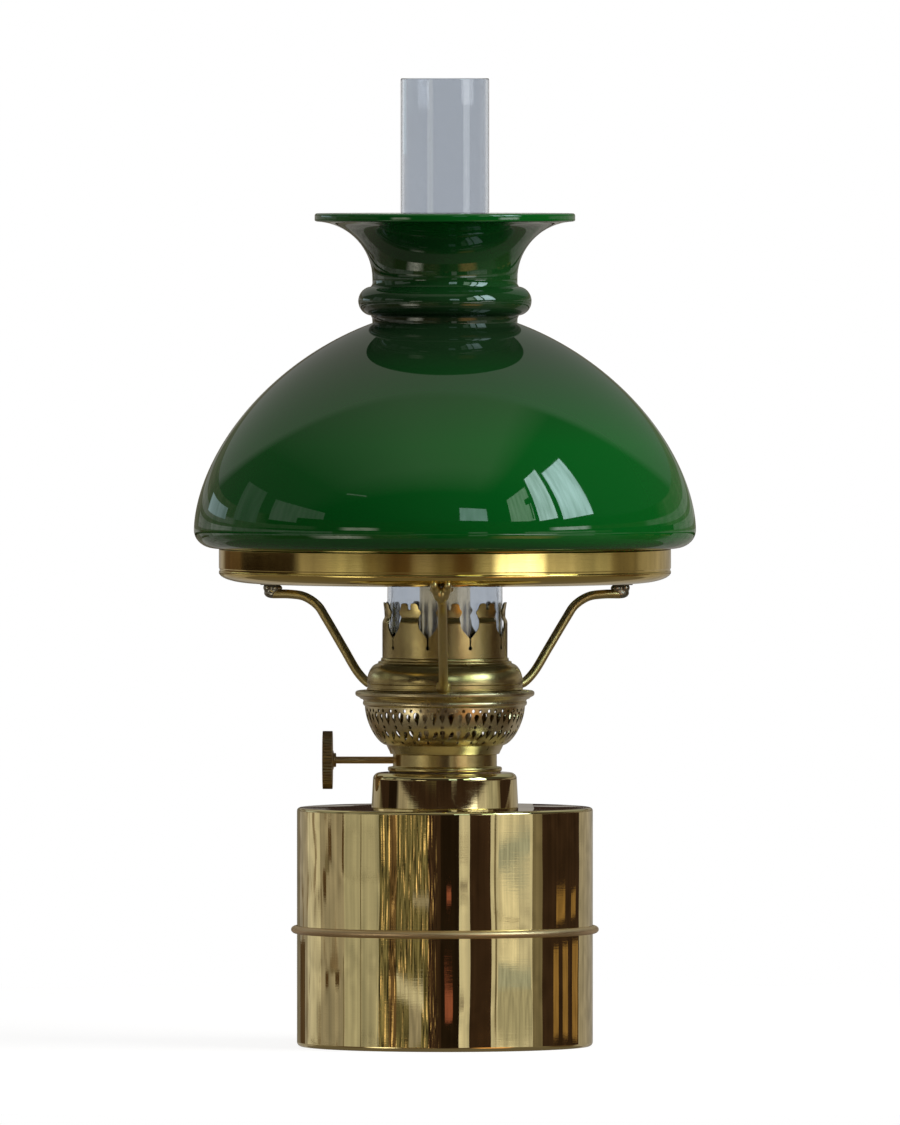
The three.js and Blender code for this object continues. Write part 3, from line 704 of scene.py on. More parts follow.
class LAMP_OT_burner_base(bpy.types.Operator):
    """Models the burner's washer and its threaded base with the rim and the band"""

    bl_idname = "lamp.burner_base"
    bl_label = "Burner base"

    def execute(self, context):
        s = context.scene.lamp_sizes
        sheet, edge = s.sheet, s.edge
        low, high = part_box("burner_washer")
        bore, slack = 0.024, 0.00003
        bottom, lid = low.z + slack, high.z - slack
        ring = turned("washer", [
            (bore, bottom, CRISP), (high.x, bottom, CRISP), (high.x, lid, CRISP), (bore, lid, CRISP),
        ])
        finished(ring, "washer", "burner_washer", "washer_rubber", washer_cork)
        low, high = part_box("burner_base")
        rim_lift, rim_height, rim_rounding, relief = 0.0124, 0.002, 0.0007, 0.0006
        rim_bottom, band_top = low.z + rim_lift, foot("air_basket")
        rim_top = rim_bottom + rim_height
        root, crest, wall, spigot, tube_hole = 0.0229, 0.0235, 0.0012, 0.0225, 0.0118
        base = turned("burner_base_cup", [
            (crest - wall, low.z, edge), (root, low.z, edge), (root, rim_bottom - 2 * relief),
            (crest, rim_bottom - relief), (crest, rim_bottom),
            (high.x, rim_bottom, rim_rounding), (high.x, rim_top, rim_rounding),
            (crest + EASED, rim_top, EASED), (crest, rim_top + SOFT), (crest, band_top, edge),
            (spigot, band_top), (spigot, high.z, edge), (tube_hole, high.z, edge),
            (tube_hole, high.z - sheet), (spigot - sheet, high.z - sheet), (crest - wall, band_top - sheet),
        ])
        below, above = 0.0004, 0.001
        ridge = thread("base_thread", root - THREAD_SINK, crest, low.z + below, rim_bottom - above)
        hole, beyond = 0.0024, 0.04
        cut(base, on_shaft("shaft_hole", [(0, -beyond), (hole, -beyond), (hole, beyond), (0, beyond)], 32))
        cup = joined([base, ridge], "burner_base_cup")
        finished(cup, "burner", "burner_base", "aged_brass", aged_brass)
        return {"FINISHED"}


# Half of a drop-shaped hole, from its point up, in shares of its width and height
DROP_SHARES = [(0, -0.5), (0.22, -0.22), (0.42, 0.04), (0.5, 0.2), (0.42, 0.37), (0.22, 0.47), (0, 0.5)]

# One repeat of the pierced pattern. Each hole: its width, its height or none if it is round, its lift
# above the basket's foot, its place in shares of the repeat from the tall drop, and its lean in degrees
BASKET_HOLES = [
    (0.0031, 0.0063, 0.0164, 0, 0),
    (0.0025, 0.0043, 0.0165, 0.5, 0),
    (0.0016, None, 0.0201, 0.29, 0),
    (0.0016, None, 0.0201, -0.29, 0),
    (0.0016, None, 0.0127, 0.5, 0),
    (0.0025, 0.0041, 0.0094, 0.5, 0),
    (0.0019, 0.0052, 0.0085, 0, 30),
    (0.0014, None, 0.0057, 0.5, 0),
]
BASKET_FIRST_DROP = 5.4


def basket_cutter(middle, width, height, lean):
    """A prism through the basket's wall at the front: a drop, or round if it has no height."""
    near, far = 0.022, 0.045
    if height is None:
        return prism("hole", arc(0, middle, width / 2, width / 2, 0, 330, 11), near, far)
    right = [(x * width, z * height) for x, z in DROP_SHARES]
    c, s = math.cos(math.radians(lean)), math.sin(math.radians(lean))
    drop = [(x * c + z * s, middle + z * c - x * s) for x, z in mirrored(right)]
    return prism("hole", drop, near, far)


class LAMP_OT_air_basket(bpy.types.Operator):
    """Models the pierced air basket with its moulded flange"""

    bl_idname = "lamp.air_basket"
    bl_label = "Air basket"

    def execute(self, context):
        s = context.scene.lamp_sizes
        sheet, edge = s.sheet, s.edge
        low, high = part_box("air_basket")
        total = high.z - low.z
        bowl_foot, bowl, bowl_lift, bowl_top, bowl_power = 0.0264, 0.0362, 0.004, 0.0216, 1.62
        flange, flange_wall, flange_bottom, rolled, chamfer = 0.0405, 0.0015, 0.0261, 0.0006, 0.0009
        moulding, moulding_lift, moulding_half, throat_lift = 0.0371, 0.0231, 0.0013, 0.0222
        seat_bore, foot_bore, inner_floor = 0.0338, 0.0228, 0.001
        across, rise = bowl - bowl_foot, bowl_top - bowl_lift
        foot_steps = [(0.0246, 0, EASED), (0.0251, 0.0013), (0.0258, 0.0026)]
        flange_steps = [
            (0.0365, 0.0247), (0.0381, 0.0249, EASED), (0.0387, 0.0256), (0.0398, flange_bottom, CRISP),
        ]
        outline = [
            (foot_bore, 0, edge), *foot_steps,
            *arc(bowl_foot, bowl_top, across, rise, -90, 0, 20, bowl_power),
            *arc(bowl, moulding_lift, moulding - bowl, moulding_half, -60, 60, 6), *flange_steps,
            (flange, flange_bottom + rolled, SOFT), (flange, total - rolled, SOFT),
            (flange - chamfer, total, SOFT), (seat_bore, total, edge), (seat_bore, total - sheet, edge),
            (flange - flange_wall, total - sheet), (flange - flange_wall, flange_bottom + inner_floor),
            (bowl - sheet, throat_lift),
            *arc(bowl_foot, bowl_top, across - sheet, rise - sheet, 0, -90, 16, bowl_power),
            (foot_bore, sheet, edge),
        ]
        repeats = s.basket_repeats
        basket = turned("air_basket_bowl", [(r, z + low.z, *rest) for r, z, *rest in outline], 6 * repeats)
        cutters = []
        for width, height, lift, place_share, lean in BASKET_HOLES:
            hole = basket_cutter(low.z + lift, width, height, lean)
            cutters.append(ring_of(hole, repeats, BASKET_FIRST_DROP + place_share * 360 / repeats))
        cut(basket, joined(cutters, "piercing"))
        finished(basket, "burner", "air_basket", "aged_brass", pierced_brass)
        return {"FINISHED"}


class LAMP_OT_wick_tubes(bpy.types.Operator):
    """Models the outer and inner wick tubes with their windows and the air duct"""

    bl_idname = "lamp.wick_tubes"
    bl_label = "Wick tubes"

    def execute(self, context):
        low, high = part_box("wick_tube_outer")
        wall, radius, mouth, turned_in, beyond = 0.0005, high.x, 0.0012, 0.0002, 0.02
        outer = turned("outer_wick_tube", [
            (radius - wall, low.z), (radius, low.z, BURR), (radius, high.z - mouth),
            (radius - turned_in, high.z, BURR), (radius - wall - BURR, high.z, BURR),
            (radius - wall, high.z - mouth),
        ])
        shaft_z, wheel_room, wheel_side = winder_centre().z, 0.0045, 0.0046
        cut(outer, block((-wheel_side, 0, shaft_z - wheel_room), (wheel_side, beyond, shaft_z + wheel_room)))
        low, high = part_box("wick_tube_inner")
        radius, duct_height, duct_side, duct_room, overlap = high.x, 0.01, 0.005, 0.0003, 0.001
        duct_top, window = low.z + duct_height, duct_side + duct_room
        cut(outer, block((-window, -beyond, low.z - duct_room), (window, 0, duct_top + duct_room)))
        finished(outer, "burner", "wick_tube_outer", "satin_brass", tube_brass)
        inner = turned("inner_wick_tube", [
            (0, low.z), (radius, low.z, SOFT), (radius, high.z, BURR),
            (radius - wall, high.z, BURR), (radius - wall, low.z + wall), (0, low.z + wall),
        ])
        duct = block((-duct_side, low.y, low.z), (duct_side, -radius + overlap, duct_top))
        combine(inner, duct, "UNION")
        bore, before = duct_side - wall, 0.002
        cut(inner, block((-bore, low.y - before, low.z + wall), (bore, 0, duct_top - wall)))
        finished(inner, "burner", "wick_tube_inner", "satin_brass", tube_brass)
        return {"FINISHED"}


class LAMP_OT_wick(bpy.types.Operator):
    """Models the woven wick, split in front of the air duct"""

    bl_idname = "lamp.wick"
    bl_label = "Wick"

    def execute(self, context):
        low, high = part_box("wick")
        radius, thickness, worn = high.x, 0.0019, 0.0005
        sleeve = turned("round_wick", [
            (radius - thickness, low.z, SOFT), (radius, low.z, SOFT),
            (radius, high.z, worn), (radius - thickness, high.z, worn),
        ])
        side, split, below, beyond = 0.0056, 0.0226, 0.01, 0.02
        split_top = foot("wick_tube_inner") + split
        cut(sleeve, block((-side, -beyond, low.z - below), (side, 0, split_top)))
        finished(sleeve, "wick", "wick", "wick_cotton", wick_cotton)
        return {"FINISHED"}


# Winder

# Radii of the raised ring in the knob's dish, in shares of the knob's radius, from its foot outside inwards
RING_SHARES = (0.45, 0.42, 0.36, 0.33)


def toothed_disc(name, radius, depth, teeth, start, end, rounding):
    """A disc along X with a toothed rim, from a cylinder whose every other edge is drawn in."""
    centre = winder_centre()
    deselect()
    bpy.ops.mesh.primitive_cylinder_add(
        vertices=2 * teeth, radius=radius, depth=end - start,
        location=((start + end) / 2, centre.y, centre.z), rotation=(0, math.pi / 2, 0),
    )
    disc = bpy.context.object
    disc.name = disc.data.name = name
    bpy.ops.object.transform_apply(location=True, rotation=True, scale=True)
    for v in disc.data.vertices:
        around = math.atan2(v.co.y - centre.y, v.co.z - centre.z)
        v.select = round(around * teeth / math.pi) % 2 == 0
    for part in (disc.data.edges, disc.data.polygons):
        for item in part:
            item.select = False
    bpy.ops.object.mode_set(mode="EDIT")
    bpy.ops.mesh.select_mode(type="VERT")
    drawn_in = (radius - depth) / radius
    bpy.ops.transform.resize(value=(1, drawn_in, drawn_in), center_override=centre)
    bpy.ops.object.mode_set(mode="OBJECT")
    bevelled(disc, rounding, 2, 60)
    return disc


class LAMP_OT_winder(bpy.types.Operator):
    """Models the wick winder: bushes, shaft, toothed wheels and the milled knob"""

    bl_idname = "lamp.winder"
    bl_label = "Winder"

    def execute(self, context):
        bore, outside = 0.00175, 0.00215
        for node, name, side in (("winder_bush", "shaft_bush", -1), ("winder_end_bush", "end_bush", 1)):
            low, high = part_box(node)
            near, far = sorted((abs(low.x), abs(high.x)))
            bush = on_shaft(name, [
                (bore, side * near), (outside, side * near, BURR),
                (outside, side * far, CRISP), (bore, side * far, BURR),
            ])
            finished(bush, "burner", node, "aged_brass", aged_brass)
        low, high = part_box("winder_shaft")
        radius = (high.z - low.z) / 2
        shaft = on_shaft("winding_shaft", [
            (0, low.x), (radius, low.x, EASED), (radius, high.x, EASED), (0, high.x),
        ])
        finished(shaft, "winder", "winder_shaft", "aged_brass", drawn_brass)
        self.knob(context.scene.lamp_sizes.knob_teeth)
        wheel_teeth, depth = 12, 0.0011
        for name in ("left", "middle", "right"):
            low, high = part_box(f"toothed_wheel_{name}")
            radius = (high.z - low.z) / 2
            wheel = toothed_disc(f"wheel_{name}", radius, depth, wheel_teeth, low.x, high.x, BURR)
            finished(wheel, "winder", f"toothed_wheel_{name}", "aged_brass", aged_brass)
        return {"FINISHED"}

    def knob(self, teeth):
        low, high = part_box("winder_knob")
        radius, thickness, milling, milling_rounding = (high.z - low.z) / 2, 0.0045, 0.0005, 0.00015
        face, back = low.x, low.x + thickness
        disc = toothed_disc("knob_disc", radius, milling, teeth, face, back, milling_rounding)
        dish, rim, before, ring, dish_rounding = 0.0008, 0.0024, 0.002, 0.0004, 0.0006
        floor = face + dish
        outside, high_outside, high_inside, inside = (radius * share for share in RING_SHARES)
        cut(disc, on_shaft("knob_dish", [
            (0, face - before), (radius - rim, face - before), (radius - rim, floor, dish_rounding),
            (outside, floor), (high_outside, floor - ring, EASED), (high_inside, floor - ring, EASED),
            (inside, floor), (0, floor),
        ], 96))
        boss, boss_height, neck, neck_start, sink = 0.0044, 0.0004, 0.0032, 0.0006, 0.001
        hub = on_shaft("knob_hub", [
            (0, back - sink), (boss, back - sink), (boss, back + boss_height, EASED),
            (neck, back + neck_start, CRISP), (neck, high.x, SOFT), (0, high.x),
        ], 64)
        finished(joined([disc, hub], "milled_knob"), "winder", "winder_knob", "dark_brass", dark_brass)


# Gallery


class LAMP_OT_gallery(bpy.types.Operator):
    """Models the domed gallery that stands on the basket"""

    bl_idname = "lamp.gallery"
    bl_label = "Gallery"

    def execute(self, context):
        s = context.scene.lamp_sizes
        sheet, edge = s.sheet, s.edge
        low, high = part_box("gallery_dome")
        radius, neck, ledge, bore = high.x, 0.03, 0.0287, 0.023
        rim, step, band, under_dome, rise = 0.0006, 0.0003, 0.0029, 0.0004, 0.009
        bead, bead_width, neck_height, ledge_height = 0.0003, 0.0002, 0.0009, 0.0013
        floor, spring = low.z, low.z + band
        crest = spring + rise
        dome = turned("gallery_cap", [
            (radius, floor, edge), (radius, floor + rim), (radius - step, floor + rim + step),
            (radius - step, spring - under_dome),
            *arc(neck, spring, radius - neck, rise, 0, 84, 14),
            (neck + bead_width, crest + bead), (neck + bead_width, crest + neck_height, EASED),
            (ledge + bead_width, crest + ledge_height), (ledge + bead_width, high.z - rim),
            (ledge, high.z, edge), (bore, high.z, edge), (bore, high.z - sheet, edge),
            (ledge - sheet, high.z - sheet), (neck - sheet, crest - sheet),
            *arc(neck, spring, radius - neck - sheet, rise - sheet, 80, 0, 8),
            (radius - sheet, floor, edge),
        ])
        finished(dome, "gallery", "gallery_dome", "aged_brass", aged_brass)
        return {"FINISHED"}


# One side of the gap between two prongs: how far from its middle, and the height above the crown's foot
NOTCH_SIDE = [
    (0.0006, 0.0095), (0.0013, 0.0101), (0.0025, 0.0115), (0.0037, 0.0129), (0.0044, 0.0141),
    (0.0047, 0.0156), (0.0048, 0.0174), (0.0045, 0.019), (0.0037, 0.0202), (0.0035, 0.0209),
    (0.004, 0.0218), (0.0047, 0.0226), (0.0049, 0.0236), (0.0053, 0.0244), (0.0062, 0.025),
]
CROWN_FIRST_NOTCH = 24.9


class LAMP_OT_crown(bpy.types.Operator):
    """Models the crown of sprung prongs that hold the chimney's foot"""

    bl_idname = "lamp.crown"
    bl_label = "Crown"

    def execute(self, context):
        prongs = context.scene.lamp_sizes.crown_prongs
        floor = foot("chimney_crown")
        wall, radius, pinch, curl, lean = 0.0008, 0.0283, 0.0273, 0.0007, 0.0001
        bend, narrow, lobe_foot, height = 0.0165, 0.0183, 0.0213, 0.0251
        bend_rounding, pinch_rounding = 0.0008, 0.0006
        body = turned("crown_prongs", [(r, floor + z, *rounding) for r, z, *rounding in [
            (radius - wall, 0, CRISP), (radius, 0, CRISP), (radius, bend, bend_rounding),
            (pinch, narrow, pinch_rounding), (pinch + lean, lobe_foot), (pinch + curl, height, EASED),
            (pinch + curl - wall, height, EASED), (pinch - wall + lean, lobe_foot),
            (pinch - wall, narrow, pinch_rounding), (radius - wall, bend, bend_rounding),
        ]], 20 * prongs)
        near, far = 0.024, 0.031
        notch = prism("notch", [(x, floor + z) for x, z in self.notch(height)], near, far)
        dip = prism("dip", [(x, floor + z) for x, z in self.dip(height)], near, far)
        notches = ring_of(notch, prongs, CROWN_FIRST_NOTCH)
        dips = ring_of(dip, prongs, CROWN_FIRST_NOTCH + 180 / prongs)
        cut(body, joined([notches, dips], "gaps"))
        finished(body, "gallery", "chimney_crown", "aged_brass", aged_brass)
        return {"FINISHED"}

    def notch(self, height):
        """Keyhole, slit and vase-shaped gap between two prongs, with the prongs' side ears at its neck."""
        key, slit, key_lift, slit_top, flare, above = 0.00095, 0.00042, 0.0048, 0.0092, 0.0004, 0.001
        side = [tuple(p) for p in smooth_route([Vector(p) for p in NOTCH_SIDE], 3)]
        keyhole = arc(0, key_lift, key, key, -90, 68, 8)
        return mirrored([*keyhole, (slit, slit_top), *side, (side[-1][0] + flare, height + above)])

    def dip(self, height):
        """Rounded gap between the two lobes of a prong."""
        half, depth, lobe, above = 0.0009, 0.0032, 0.0013, 0.001
        shoulder = arc(0, height - lobe, lobe, lobe, 0, 80, 5)
        return mirrored([
            *arc(0, height - depth + half, half, half, -90, 0, 5), (half, height - lobe),
            *[(half + lobe - r, z) for r, z in shoulder], (half + lobe, height + above),
        ])


# Shade holder

# How an arm climbs to the ring, in shares of its span and of its rise
ARM_ROUTE_SHARES = [
    (0.1, 0.02), (0.2, 0.15), (0.32, 0.39), (0.49, 0.73), (0.575, 0.88), (0.7, 0.975), (0.84, 1),
]

# Fillet of solder round the arm's root: radius and distance from the gallery's wall
ROOT_SOLDER = [
    (0, 0), (0.0034, 0), (0.0031, 0.0003), (0.0026, 0.0009), (0.00235, 0.0018), (0.0018, 0.0022),
    (0, 0.0022),
]

# Blobs of solder at a pad: sideways, inwards from its edge and up from its underside, then half their
# sizes. The lobes climb the ring's corner, and sideways they count as shares of the lobe's place
PAD_SOLDER = [
    ((0, 0.0043, -0.0019), (0.0025, 0.0041, 0.0024)),
    ((0, 0.0029, 0.0006), (0.0032, 0.0028, 0.0024)),
    ((0, 0.0066, 0.0004), (0.0024, 0.003, 0.0018)),
]
LOBE_SOLDER = [
    ((1, -0.0024, 0.0048), (0.0019, 0.0028, 0.0024)),
    ((0.8, -0.0002, 0.003), (0.0022, 0.003, 0.003)),
    ((0.45, 0.0012, 0.0008), (0.0024, 0.003, 0.0034)),
]
LOBE_PLACES = (-0.0033, 0.0029)


def swept(name, points, radius, sides=6):
    """A round rod along points, from a drawn line turned into a curve."""
    select(drawn(name, points, closed=False))
    bpy.ops.object.convert(target="CURVE")
    curve = bpy.context.object.data
    curve.bevel_depth, curve.bevel_resolution, curve.use_fill_caps = radius, sides, True
    bpy.ops.object.convert(target="MESH")
    rod = bpy.context.object
    rod.name = name
    bpy.ops.object.mode_set(mode="EDIT")
    face_outwards(merge=True)
    return rod


class LAMP_OT_holder(bpy.types.Operator):
    """Models the three bent arms, their pads and the dish-shaped shade ring"""

    bl_idname = "lamp.holder"
    bl_label = "Shade holder"

    def execute(self, context):
        radius = context.scene.lamp_sizes.arm_radius
        for side, degrees in (("front", 0), ("right", 120), ("left", 240)):
            arm = self.arm(radius, f"bent_arm_{side}")
            turn(arm, degrees)
            finished(arm, "gallery", f"holder_arm_{side}", "aged_brass", rod_brass)
            pad = self.pad(f"soldered_pad_{side}", LOBE_PLACES if side == "front" else ())
            turn(pad, degrees)
            # The front pad is brass; the side pads are coloured solder grey all over, partly as painted shade
            # under the ring
            metal = rod_brass if side == "front" else solder
            finished(pad, "gallery", f"arm_pad_{side}", "aged_brass", metal)
        self.ring()
        return {"FINISHED"}

    def arm(self, radius, name):
        """The front arm, from the gallery's wall out to the ring, with the solder round its root."""
        low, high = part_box("holder_arm_front")
        start, arm_reach, straight, sink = -high.y, 0.091, 0.002, 0.0001
        level, span = low.z + radius, arm_reach + high.y
        rise = high.z - radius - level
        route = [(0, 0), (straight, 0), *[(span * a, rise * u) for a, u in ARM_ROUTE_SHARES], (span, rise)]
        points = [Vector((0, -start - along, level + up)) for along, up in route]
        rod = swept(name, smooth_route(points, 8), radius)
        fillet = turned(f"{name}_solder", ROOT_SOLDER, 40)
        turn(fillet, 90, axis="X")
        edited(fillet, bpy.ops.transform.translate, value=(0, sink - start, level))
        return joined([rod, fillet], name)

    def pad(self, name, lobe_places):
        """A thin plate under the ring, with the solder that tapers off the rod's end, and any lobes."""
        low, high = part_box("arm_pad_front")
        side, corner, thickness = (high.x - low.x) / 2, 0.0026, 0.0016
        bend = [(corner - r, corner + z) for r, z in arc(0, 0, corner, corner, 0, -90, 6)]
        outline = [(side, high.y), (-side, high.y)]
        outline += [(x - side, low.y + y) for x, y in bend]
        outline += [(side - x, low.y + y) for x, y in reversed(bend)]
        plate = slab(name, [(x, y, high.z) for x, y in outline], (0, 0, -thickness))
        bevelled(plate, EASED, 3, 40)
        blobs = list(PAD_SOLDER)
        for place in lobe_places:
            blobs += [((share * place, inwards, up), size) for (share, inwards, up), size in LOBE_SOLDER]
        lumps = []
        for (sideways, inwards, up), size in blobs:
            deselect()
            at = (sideways, low.y + inwards, low.z + up)
            bpy.ops.mesh.primitive_uv_sphere_add(segments=24, ring_count=14, radius=1, location=at, scale=size)
            bpy.ops.object.transform_apply(location=True, rotation=True, scale=True)
            lumps.append(bpy.context.object)
        run = joined(lumps, "solder")
        apply_modifier(run, "REMESH", mode="VOXEL", voxel_size=0.00025)
        apply_modifier(run, "SMOOTH", factor=0.7, iterations=24)
        return joined([plate, run], name)

    def ring(self):
        low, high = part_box("shade_ring")
        radius, wall, bore, across, rise = high.x, 0.001, 0.08, 0.0162, 0.0049
        corner, spring = radius - across, low.z + rise
        groove, groove_from, groove_to, groove_end, lip = 0.0003, 0.0008, 0.0015, 0.0019, 0.0005
        ring = turned("shade_dish", [
            (bore, low.z, EASED), *arc(corner, spring, across, rise, -90, -7, 16),
            (radius, spring - CRISP, CRISP), (radius, spring + lip, CRISP),
            (radius - groove, spring + groove_from), (radius - groove, spring + groove_to),
            (radius, spring + groove_end), (radius, high.z, SOFT), (radius - wall, high.z, SOFT),
            *arc(corner, spring, across - wall, rise - wall, 0, -90, 12), (bore, low.z + wall, EASED),
        ])
        finished(ring, "gallery", "shade_ring", "satin_brass", satin_brass)


# Glass


class LAMP_OT_shade(bpy.types.Operator):
    """Models the cased glass shade: fitter, dome, neck bead and trumpet mouth"""

    bl_idname = "lamp.shade"
    bl_label = "Shade"

    def execute(self, context):
        wall = context.scene.lamp_sizes.glass_wall
        low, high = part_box("glass_shade")
        above_ring = 0.0003
        base, radius = top("shade_ring") + above_ring, high.x
        belly_rise, underside, fitter, heel, heel_rounding = 0.0082, 0.104, 0.0995, 0.0012, 0.002
        dome_rise, power, neck, belly = 0.1003, 1.75, 0.0328, base + belly_rise
        bead_lift, bead_rise, bead_half, fillet, pinch = 0.1117, 0.0064, 0.0066, 0.0012, 0.0001
        bead_z = base + bead_lift
        mouth, trumpet, trumpet_rise, lip, undercut = 0.0589, 0.0261, 0.0258, 0.0038, 0.0008
        lip_z, lip_rounding = high.z - lip, 0.0012
        trumpet_z = lip_z - trumpet_rise
        shade = turned("cased_shade", [
            (fitter - wall, low.z, SOFT), (fitter, low.z, SOFT), (fitter, base, heel),
            *arc(underside, belly, radius - underside, belly_rise, -90, -6, 10),
            *self.dome(radius, dome_rise, neck, power, belly, 56),
            (neck + pinch, bead_z - bead_half - fillet),
            *arc(neck, bead_z, bead_rise, bead_half, -84, 84, 18), (neck, bead_z + bead_half + fillet),
            *arc(mouth, trumpet_z, trumpet, trumpet_rise, 180, 96, 18),
            (mouth - undercut, lip_z, SOFT), (mouth, lip_z + SOFT, SOFT), (mouth, high.z, lip_rounding),
            *arc(mouth, trumpet_z, trumpet + wall, high.z - trumpet_z, 97, 180, 16),
            *self.dome(radius - wall, dome_rise - wall, neck - wall, power, belly, 40)[::-1],
            (fitter - wall, base + wall, heel_rounding),
        ])
        finished(
            shade, "shade", "glass_shade", "green_glass", green_glass, opal_glass, ground_glass,
            smooth_below=40,
        )
        self.line_with_opal(shade, low.z, high.z, fitter)
        return {"FINISHED"}

    def dome(self, radius, rise, neck, power, base, steps):
        end = math.degrees(math.acos((neck / radius) ** (power / 2)))
        return arc(0, base, radius, rise, 0, end, steps, power)

    def line_with_opal(self, shade, bottom, rim, fitter):
        """The faces that look at the lamp's axis are opal, and the fitter's end is ground.

        Between the fitter and the trumpet, only those that also look downwards are opal.
        """
        opal, ground = 1, 2
        ground_height, fitter_height, trumpet_height, margin = 0.0003, 0.012, 0.03, 0.0002
        for face in shade.data.polygons:
            centre, normal = face.center, face.normal
            inwards = normal.x * centre.x + normal.y * centre.y < 0
            off_axis = math.hypot(centre.x, centre.y)
            in_fitter = off_axis < fitter - margin and centre.z < bottom + fitter_height
            if centre.z < bottom + ground_height:
                face.material_index = ground
            elif inwards and (in_fitter or normal.z < 0 or centre.z > rim - trumpet_height):
                face.material_index = opal


class LAMP_OT_chimney(bpy.types.Operator):
    """Models the clear glass chimney with its wide foot, its waist and its straight tube"""

    bl_idname = "lamp.chimney"
    bl_label = "Chimney"

    def execute(self, context):
        wall = context.scene.lamp_sizes.chimney_wall
        low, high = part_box("glass_chimney")
        foot_radius, waist, tube, foot_rounding, mouth_rounding = high.x, 0.0175, 0.02, 0.0005, 0.0006
        foot_height, shoulder_height, flare, flare_steps = 0.046, 0.01, 0.028, 8
        waist_width, waist_lift = 0.0002, 0.0015
        foot_top = low.z + foot_height
        shoulder = foot_top + shoulder_height

        def line(inset):
            narrow = waist - inset
            points = arc(narrow, foot_top, foot_radius - waist, shoulder_height, 0, 76, 10)
            points.append((narrow + waist_width, shoulder + waist_lift))
            for i in range(1, flare_steps + 1):
                widened = (tube - waist) * (1 - math.cos(math.pi * i / flare_steps)) / 2
                points.append((narrow + widened, shoulder + flare * i / flare_steps))
            return points

        chimney = turned("chimney_glass_tube", [
            (foot_radius, low.z, foot_rounding), *line(0), (tube, high.z, mouth_rounding),
            (tube - wall, high.z, mouth_rounding), *line(wall)[::-1],
            (foot_radius - wall, low.z, foot_rounding),
        ])
        finished(chimney, "chimney", "glass_chimney", "clear_glass", chimney_glass, smooth_below=45)
        return {"FINISHED"}


# Stage: the lights, and the room that only gloss shows

# Angle from the front to +X, angle above the horizon, distance, size and power
SOFT_LIGHTS = [
    ("window_light", 66, 26, 1.9, 1.4, 30),
    ("room_light", -70, 55, 1.9, 1.4, 3),
]
LIGHTS_LOOK_AT = Vector((0, 0, 0.22))

FLOOR_COLOUR, FLOOR_GLOW = (0.24, 0.235, 0.23, 1), 0.86

# The two upright edges (x, y) of each pane, its lowest and highest level, and its tone
WINDOW_PANES = [
    ("curtained_pane", (1.5, -2.45), (1.5, -1.62), 0.78, 1.8, (1.5, 2.1, 1.6, 1)),
    ("middle_pane", (1.5, -1.52), (1.5, -1.1), 0.72, 2.0, (4.6, 6.2, 6.2, 1)),
    ("right_pane", (1.5, -1.0), (1.5, -0.46), 0.66, 1.8, (5.0, 6.8, 7.1, 1)),
    ("plant_leaves", (1.44, -1.72), (1.44, -1.46), 1.25, 1.42, (0.05, 0.08, 0.04, 1)),
    ("plant_stem", (1.44, -1.62), (1.44, -1.58), 0.8, 1.3, (0.1, 0.14, 0.09, 1)),
    ("front_pane", (0.2, -1.5), (0.55, -1.5), 0.62, 0.9, (1.7, 2.4, 2.4, 1)),
    ("left_pane", (-1.5, -0.1), (-1.5, -1.0), 0.5, 0.8, (0.4, 0.42, 0.38, 1)),
    ("far_left_pane", (-1.02, 1.22), (-1.34, 0.72), 0.4, 0.52, (0.75, 0.95, 1.0, 1)),
    ("side_pane", (-1.4, 0.54), (-1.5, 0.1), 0.42, 0.85, (0.26, 0.29, 0.25, 1)),
    ("picture_rail", (-0.95, -1.2), (-1.15, -1.0), 1.1, 1.12, (0.8, 0.8, 0.75, 1)),
]

# Scale, stretch and detail of the soft streaks on the panes and on the things in the room
PANE_STREAKS, ROOM_STREAKS = (4, (3, 3, 0.3), 3), (20, (1, 1, 3), 3)

BLACK = (0.014, 0.009, 0.006, 1)
DARK = (0.034, 0.02, 0.014, 1)
BROWN = (0.085, 0.055, 0.03, 1)
OLIVE = (0.11, 0.1, 0.055, 1)
SMEAR = (0.15, 0.105, 0.065, 1)
AMBER = (0.26, 0.16, 0.06, 1)
RED = (0.26, 0.085, 0.06, 1)
DIM = (0.17, 0.15, 0.11, 1)
TAN = (0.32, 0.3, 0.27, 1)
SLATE = (0.36, 0.4, 0.4, 1)
KHAKI = (0.38, 0.38, 0.33, 1)
PALE = (0.56, 0.55, 0.5, 1)
CREAM = (0.7, 0.68, 0.6, 1)
HONEY = (1.15, 0.6, 0.22, 1)
GLARE = (1.7, 1.65, 1.35, 1)
PANE = (2.9, 3.0, 3.0, 1)
GILT = (1.0, 0.72, 0.38)

# Uprights that the tank and its collar show: where each starts, in degrees from the front to +X, and its tone
LOW_UPRIGHTS = [
    (-180, DIM), (-154, TAN), (-133, PALE), (-112, TAN), (-84, KHAKI), (-51, OLIVE), (-43, BROWN),
    (-37, OLIVE), (-14, DARK), (-4, BLACK), (10.5, PALE), (18.5, DARK), (35.5, PALE), (41.5, CREAM),
    (58, PALE), (71, DIM), (81, DARK), (127, TAN),
]
# Those that the gallery and the basket's flange show
MIDDLE_UPRIGHTS = [
    (-180, TAN), (-125, DIM), (-90, BROWN), (-60, GLARE), (-38, BROWN), (-10, DARK), (8, BROWN),
    (26, HONEY), (52, DIM), (90, BROWN), (125, TAN),
]
# Those that the shade ring shows
HIGH_UPRIGHTS = [
    (-180, TAN), (-150, BROWN), (-124, BLACK), (-78, TAN), (-58, KHAKI), (-40, DIM), (-28, BROWN),
    (-14, TAN), (-5, DIM), (5, BROWN), (17, KHAKI), (27, PANE), (50, PALE), (70, KHAKI), (92, DIM),
    (115, TAN),
]
